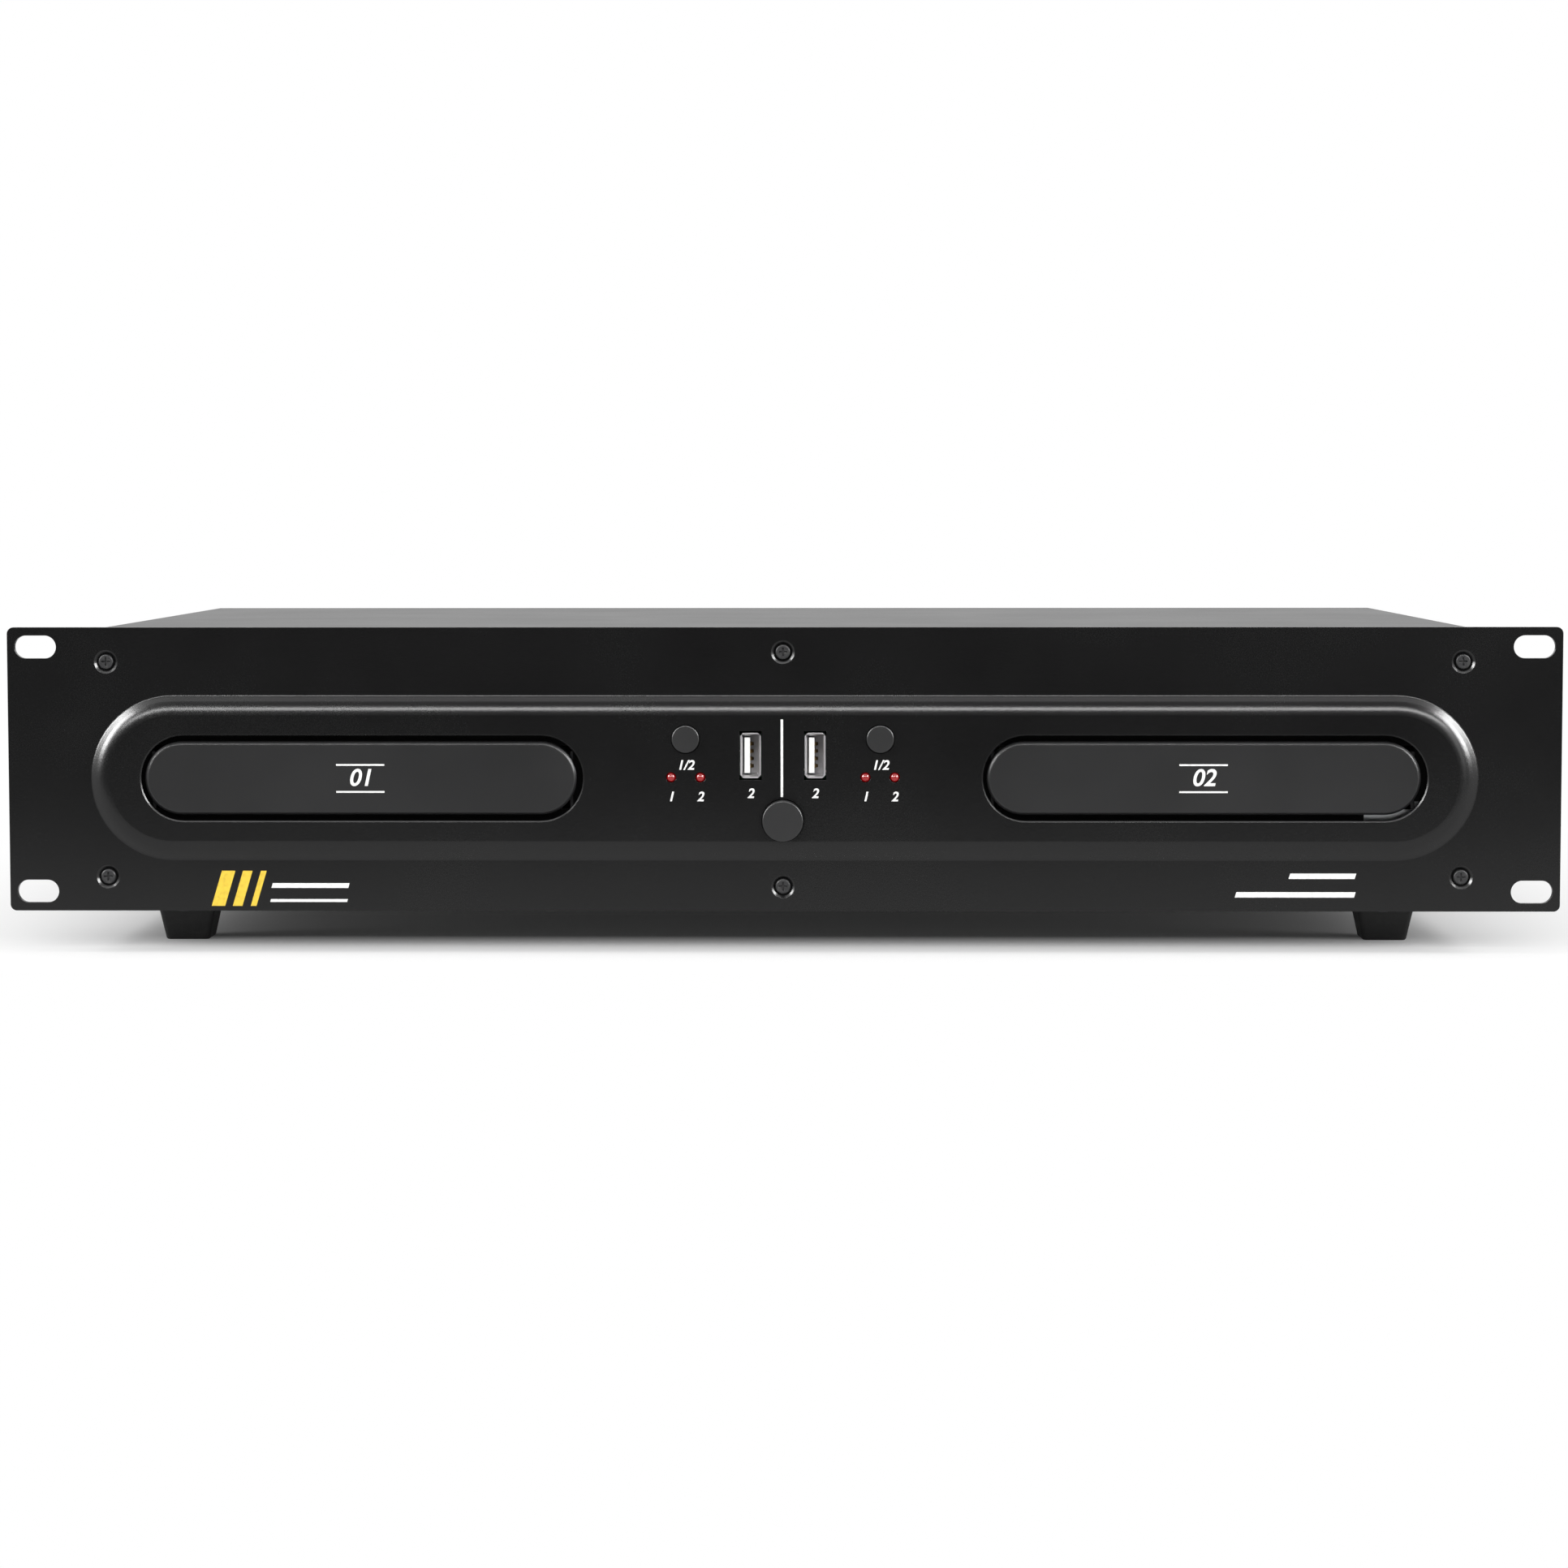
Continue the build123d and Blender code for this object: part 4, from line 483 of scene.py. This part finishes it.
def inkBar(middle, length, height, lean, depth):
    # thin printed bar facing forward: a plane that is leaned over and thickened by the ink
    tenth = height / 10 / 1000
    deselect()
    bpy.ops.mesh.primitive_plane_add(size=1, location=metres(middle[0], depth, middle[1]))
    bar = bpy.context.object
    bpy.ops.object.mode_set(mode="EDIT")
    bpy.ops.transform.resize(value=(length / 1000, height / 1000, 1))
    bpy.ops.mesh.subdivide(number_cuts=1)
    bpy.ops.transform.rotate(
        value=-math.pi / 2, orient_axis="X", center_override=metres(middle[0], depth, middle[1])
    )
    pickPoints(lambda co: co.z > tenth)
    bpy.ops.transform.translate(value=(lean / 1000, 0, 0))
    pickPoints(lambda co: co.z < -tenth)
    bpy.ops.transform.translate(value=(-lean / 1000, 0, 0))
    bpy.ops.mesh.select_all(action="SELECT")
    bpy.ops.mesh.extrude_region_move(TRANSFORM_OT_translate={"value": (0, -inkThickness / 1000, 0)})
    bpy.ops.mesh.select_all(action="SELECT")
    bpy.ops.mesh.normals_make_consistent(inside=False)
    bpy.ops.object.mode_set(mode="OBJECT")
    return bar


def inkText(words, middle, height, depth, weight):
    # printed figures: text with a little weight and lean, made a mesh and then stood upright
    capShare = 0.7
    lean = 0.22
    deselect()
    bpy.ops.object.text_add(location=(0, 0, 0))
    text = bpy.context.object
    text.data.body = words
    text.data.align_x = "CENTER"
    text.data.align_y = "CENTER"
    text.data.size = height / 1000 / capShare
    text.data.shear = lean
    text.data.offset = weight / 1000
    text.data.extrude = inkThickness / 2000
    text.data.resolution_u = 6
    bpy.ops.object.convert(target="MESH")
    figures = bpy.context.object
    figures.rotation_euler = (math.pi / 2, 0, 0)
    figures.location = metres(middle[0], depth - inkThickness / 2, middle[1])
    return figures


def join(pieces):
    deselect()
    for piece in pieces:
        piece.select_set(True)
    bpy.context.view_layer.objects.active = pieces[0]
    bpy.ops.object.transform_apply(location=True, rotation=True, scale=True)
    if len(pieces) > 1:
        bpy.ops.object.join()
    return bpy.context.object


def repeat(model, spots):
    # the modelled piece at the first spot and copies with meshes of their own at the rest, in millimetres
    pieces = [model]
    for spot in spots[1:]:
        twin = model.copy()
        twin.data = model.data.copy()
        bpy.context.scene.collection.objects.link(twin)
        pieces.append(twin)
    for piece, spot in zip(pieces, spots):
        piece.location = metres(*spot)
    return pieces


# prints on the plateau

divider = {"x": -0.3, "low": 49.2, "high": 73.3, "width": 0.75}
line = inkBar(
    (divider["x"], (divider["low"] + divider["high"]) / 2), divider["width"],
    divider["high"] - divider["low"], 0.0, plateauFace,
)
settle(line, "dividerLine", "case", whiteInk)

legends = {
    "keyRow": 59.0, "lampRow": 49.2, "socketRow": 50.2, "figure": 2.9, "weight": 0.09,
    "keys": ((-30.2, "1/2"), (30.2, "1/2")),
    "lamps": ((-34.7, "1"), (-25.6, "2"), (25.6, "1"), (34.7, "2")),
    "sockets": ((-10.0, "2"), (10.0, "2")),
}
figures = []
for row, marks in (("keyRow", "keys"), ("lampRow", "lamps"), ("socketRow", "sockets")):
    for x, words in legends[marks]:
        place = (x, legends[row])
        figures.append(inkText(words, place, legends["figure"], plateauFace, legends["weight"]))
settle(join(figures), "panelFigures", "case", whiteInk)

doorMark = {
    "figure": 5.2, "weight": 0.12, "bar": 15.0, "barHeight": 0.55, "spread": 4.2, "z": 54.95, "shift": -0.1,
}
for side, words in (("left", "01"), ("right", "02")):
    x = driveMiddle[side] + doorMark["shift"]
    marks = [inkText(words, (x, doorMark["z"]), doorMark["figure"], doorFace, doorMark["weight"])]
    for way in (-1, 1):
        marks.append(
            inkBar(
                (x, doorMark["z"] + way * doorMark["spread"]), doorMark["bar"], doorMark["barHeight"],
                0.0, doorFace,
            )
        )
    settle(join(marks), f"doorMark_{side}", f"tray_unit_{side}", whiteInk)

# contact springs that bow out from the tongues of the USB sockets

spring = {
    "tongues": (-10.0, 10.0), "rows": (58.65, 60.95, 63.25, 65.55), "y": -126.6,
    "long": 3.4, "wide": 1.0, "thick": 0.14, "edge": 0.03, "off": 0.02,
    "bow": 0.75, "humps": ((0.05, 0.45), (0.3, 0.55)),
}


def contactSpring():
    deselect()
    bpy.ops.mesh.primitive_cube_add(size=1, location=(0, 0, 0))
    leaf = bpy.context.object
    bpy.ops.object.mode_set(mode="EDIT")
    bpy.ops.transform.resize(value=metres(spring["thick"], spring["long"], spring["wide"]))
    bpy.ops.mesh.subdivide(number_cuts=3)
    for reach, bow in spring["humps"]:
        pickPoints(lambda co: abs(co.y) < reach * spring["long"] / 1000)
        bpy.ops.transform.translate(value=(bow * spring["bow"] / 1000, 0, 0))
    bpy.ops.object.mode_set(mode="OBJECT")
    soft = leaf.modifiers.new("edge", "BEVEL")
    soft.width = spring["edge"] / 1000
    soft.segments = 2
    bpy.ops.object.modifier_apply(modifier="edge")
    bpy.ops.object.shade_smooth_by_angle(angle=math.radians(40))
    return leaf


springSide = spring["off"] + spring["thick"] / 2
leaves = repeat(
    contactSpring(), [(x + springSide, spring["y"], z) for x in spring["tongues"] for z in spring["rows"]]
)
for side in ("left", "right"):
    four, leaves = leaves[:4], leaves[4:]
    settle(join(four), f"usbSprings_{side}", "case", finishes["contact_gold"])

# plain stripes low on the panel

stripes = {
    "yellow": [(-174.6, 20.4, 4.2, 11.0), (-168.6, 20.4, 3.0, 11.0), (-163.6, 20.4, 1.8, 11.0)],
    "white": [
        (-147.4, 21.3, 24.0, 1.5), (-147.9, 16.6, 24.0, 0.9),
        (167.6, 24.4, 20.5, 1.7), (159.2, 18.6, 37.0, 1.7),
    ],
    "lean": 0.3,
}
for name, ink in (("yellow", yellowInk), ("white", whiteInk)):
    bars = [
        inkBar((x, z), length, height, height * stripes["lean"] / 2, panelFace)
        for x, z, length, height in stripes[name]
    ]
    settle(join(bars), f"{name}Stripes", "case", ink)
print("prints laid")

# insulators in the phono jacks, and near-black discs of painted shade for the holes in the control sockets

jack = {
    "places": (-54.0, -38.0, -16.0, 0.0), "z": 39.9, "back": 136.2, "sunk": 0.35,
    "outer": 2.96, "inner": 1.72, "thick": 0.6, "edge": 0.12, "near": 0.01,
}


def insulatorRing():
    deselect()
    bpy.ops.mesh.primitive_cylinder_add(
        vertices=40, radius=jack["outer"] / 1000, depth=jack["thick"] / 1000,
        location=(0, 0, 0), rotation=(math.pi / 2, 0, 0),
    )
    ring = bpy.context.object
    bpy.ops.object.mode_set(mode="EDIT")
    pickFaces(lambda middle, normal: abs(normal.z) > 0.9 and middle.xy.length < jack["near"] / 1000)
    bpy.ops.mesh.inset(thickness=(jack["outer"] - jack["inner"]) / 1000)
    bpy.ops.mesh.delete(type="ONLY_FACE")
    mesh = bmesh.from_edit_mesh(ring.data)
    bpy.ops.mesh.select_mode(type="EDGE")
    for edge in mesh.edges:
        edge.select = edge.is_boundary
    bmesh.update_edit_mesh(ring.data)
    bpy.ops.mesh.bridge_edge_loops()
    bpy.ops.mesh.select_all(action="SELECT")
    bpy.ops.mesh.normals_make_consistent(inside=False)
    bpy.ops.object.mode_set(mode="OBJECT")
    soft = ring.modifiers.new("edge", "BEVEL")
    soft.width = jack["edge"] / 1000
    soft.segments = 2
    bpy.ops.object.modifier_apply(modifier="edge")
    bpy.ops.object.shade_smooth_by_angle(angle=math.radians(35))
    return ring


ringMiddle = jack["back"] - jack["sunk"] - jack["thick"] / 2
rings = repeat(insulatorRing(), [(x, ringMiddle, jack["z"]) for x in jack["places"]])
for number, ring in enumerate(rings):
    material = insulatorWhite if number % 2 else insulatorRed
    settle(ring, f"jackInsulator_{number + 1}", "case", material)

socket = {
    "places": (22.0, 46.0), "z": 39.9, "face": 128.2, "circle": 2.1, "radius": 0.42,
    "turns": (-30, 30, 90, 150, 210, 270), "thick": 0.04, "rim": 0.08, "dish": 0.03,
}


def pinHole():
    deselect()
    bpy.ops.mesh.primitive_cylinder_add(
        vertices=16, radius=socket["radius"] / 1000, depth=socket["thick"] / 1000,
        location=(0, 0, 0), rotation=(math.pi / 2, 0, 0),
    )
    bpy.ops.object.mode_set(mode="EDIT")
    pickFaces(lambda middle, normal: normal.z < -0.9)
    bpy.ops.mesh.inset(thickness=socket["rim"] / 1000)
    bpy.ops.mesh.extrude_region_shrink_fatten(
        TRANSFORM_OT_shrink_fatten={"value": -socket["dish"] / 1000}
    )
    bpy.ops.object.mode_set(mode="OBJECT")
    return bpy.context.object


def pinSpot(x, turn):
    angle = math.radians(turn)
    return (
        x + socket["circle"] * math.sin(angle), socket["face"] + socket["thick"] / 2,
        socket["z"] + socket["circle"] * math.cos(angle),
    )


holes = repeat(pinHole(), [pinSpot(x, turn) for x in socket["places"] for turn in socket["turns"]])
for number in (1, 2):
    ring, holes = holes[:6], holes[6:]
    settle(join(ring), f"socketHoles_{number}", "case", holeShade)
print("rear details added")

# room, light and camera

# in metres; the floor turns into the white background over the second length, from the first one on
room = {
    "floor": 14.0, "side": (0.2, 0.13), "front": (0.078, 0.105), "back": (0.15, 0.3),
    "kept": 0.98, "ambient": 0.42,
}

deselect()
bpy.ops.mesh.primitive_plane_add(size=room["floor"], location=(0, 0, 0))
floor = bpy.context.object
floor.name = "floor"
paper = Finish("paper")
across, along, up = paper.axes()
beside = paper.ramp((abs(across) - room["side"][0]) / room["side"][1], (0.0, 0.0), (1.0, 1.0))
before = paper.ramp((-along - room["front"][0]) / room["front"][1], (0.0, 0.0), (1.0, 1.0))
behind = paper.ramp((along - room["back"][0]) / room["back"][1], (0.0, 0.0), (1.0, 1.0))
fade = 1.0 - (1.0 - beside) * (1.0 - before) * (1.0 - behind) * room["kept"]
matte = paper.node("ShaderNodeBsdfDiffuse", sockets={"Color": (0.9, 0.9, 0.9, 1)})
glow = paper.node("ShaderNodeEmission", sockets={"Color": (1, 1, 1, 1), "Strength": 1.0})
cover = paper.node("ShaderNodeMixShader", sockets={0: fade * paper.seenRays(), 1: matte, 2: glow})
paper.node("ShaderNodeOutputMaterial", sockets={"Surface": cover}, output=None)
floor.data.materials.append(paper.material)

# dark cloths behind and under the camera, seen only in reflections
black = Finish("darkCloth")
weave = black.grain(3.0, 2.0)
black.surface(black.mix(weave, (0.01, 0.01, 0.01), (0.02, 0.02, 0.02)), roughness=0.9)
cloths = {
    "backCloth": {"at": (0, -2.1, 1.6), "turn": math.pi / 2, "size": (7.0, 3.2)},
    "lowCloth": {"at": (0, -1.26, 0.004), "turn": 0.0, "size": (7.0, 1.68)},
}
for name, sheet in cloths.items():
    deselect()
    bpy.ops.mesh.primitive_plane_add(size=1, location=sheet["at"], rotation=(sheet["turn"], 0, 0))
    cloth = bpy.context.object
    cloth.name = name
    cloth.scale = (*sheet["size"], 1)
    cloth.data.materials.append(black.material)
    cloth.visible_camera = False
    cloth.visible_diffuse = False
    cloth.visible_shadow = False

world = bpy.data.worlds.new("room")
bpy.context.scene.world = world
sky = Finish("room", world)
strength = room["ambient"] + sky.seenRays() * (1 - room["ambient"])
light = sky.node("ShaderNodeBackground", sockets={"Color": (1, 1, 1, 1), "Strength": strength})
sky.node("ShaderNodeOutputWorld", sockets={"Surface": light}, output=None)

lampTarget = Vector((0, -0.05, 0.05))
lamps = {
    "edgeStrip": {
        "at": (0.0, -1.6, 0.87), "size": (2.8, 0.2), "power": 48.0, "lights": False, "mirrored": True,
    },
    "topCard": {
        "at": (0.0, -0.35, 1.6), "size": (2.6, 0.7), "power": 6.0, "lights": False, "mirrored": True,
    },
    "topBox": {
        "at": (0.0, -0.1, 1.7), "size": (2.4, 1.2), "power": 11.0, "lights": True, "mirrored": True,
    },
    "leftEdge": {
        "at": (-1.45, -0.75, 0.8), "size": (0.5, 0.9), "power": 62.0, "lights": False, "mirrored": True,
    },
    "rightEdge": {
        "at": (1.45, -0.75, 0.8), "size": (0.5, 0.9), "power": 62.0, "lights": False, "mirrored": True,
    },
    "rightCard": {
        "at": (0.95, -1.3, 0.3), "size": (0.4, 0.5), "power": 2.0, "lights": False, "mirrored": True,
    },
    "frontFill": {
        "at": (0.0, -1.75, 0.85), "size": (2.2, 0.5), "power": 26.0, "lights": True, "mirrored": False,
    },
    "leftFill": {
        "at": (-1.6, -0.5, 0.6), "size": (0.5, 1.0), "power": 12.0, "lights": True, "mirrored": False,
    },
    "rightFill": {
        "at": (1.6, -0.5, 0.6), "size": (0.5, 1.0), "power": 12.0, "lights": True, "mirrored": False,
    },
}
# the cards that draw bright lines along the edges of the front are seen by the front pieces only
front = bpy.data.collections.new("frontPieces")
for name in ("front_panel", "panel_screws", "power_button", "led_lenses", "usb_shells", "usb_tongues"):
    front.objects.link(nodes[name])
for side in driveMiddle:
    front.objects.link(nodes[f"tray_door_{side}"])
    front.objects.link(nodes[f"mode_button_{side}"])
for name, lamp in lamps.items():
    data = bpy.data.lights.new(name, "AREA")
    data.shape = "RECTANGLE"
    data.size, data.size_y = lamp["size"]
    data.energy = lamp["power"]
    box = bpy.data.objects.new(name, data)
    bpy.context.scene.collection.objects.link(box)
    box.location = lamp["at"]
    box.rotation_euler = (lampTarget - Vector(lamp["at"])).to_track_quat("-Z", "Y").to_euler()
    box.visible_glossy = lamp["mirrored"]
    box.visible_diffuse = lamp["lights"]
    if not lamp["lights"]:
        box.light_linking.receiver_collection = front

lens = {"at": (18.13, -1348.45, 139.6), "turn": -0.0146, "dip": 0.0708, "roll": -0.0007, "length": 90.34}
data = bpy.data.cameras.new("camera")
data.lens = lens["length"]
data.sensor_width = 36.0
camera = bpy.data.objects.new("camera", data)
bpy.context.scene.collection.objects.link(camera)
aim = Matrix.Rotation(-lens["turn"], 4, "Z") @ Matrix.Rotation(math.pi / 2 - lens["dip"], 4, "X")
camera.matrix_world = Matrix.Translation(metres(*lens["at"])) @ aim @ Matrix.Rotation(lens["roll"], 4, "Z")
bpy.context.scene.camera = camera
bpy.context.scene.view_settings.view_transform = "Standard"
print("room lit")
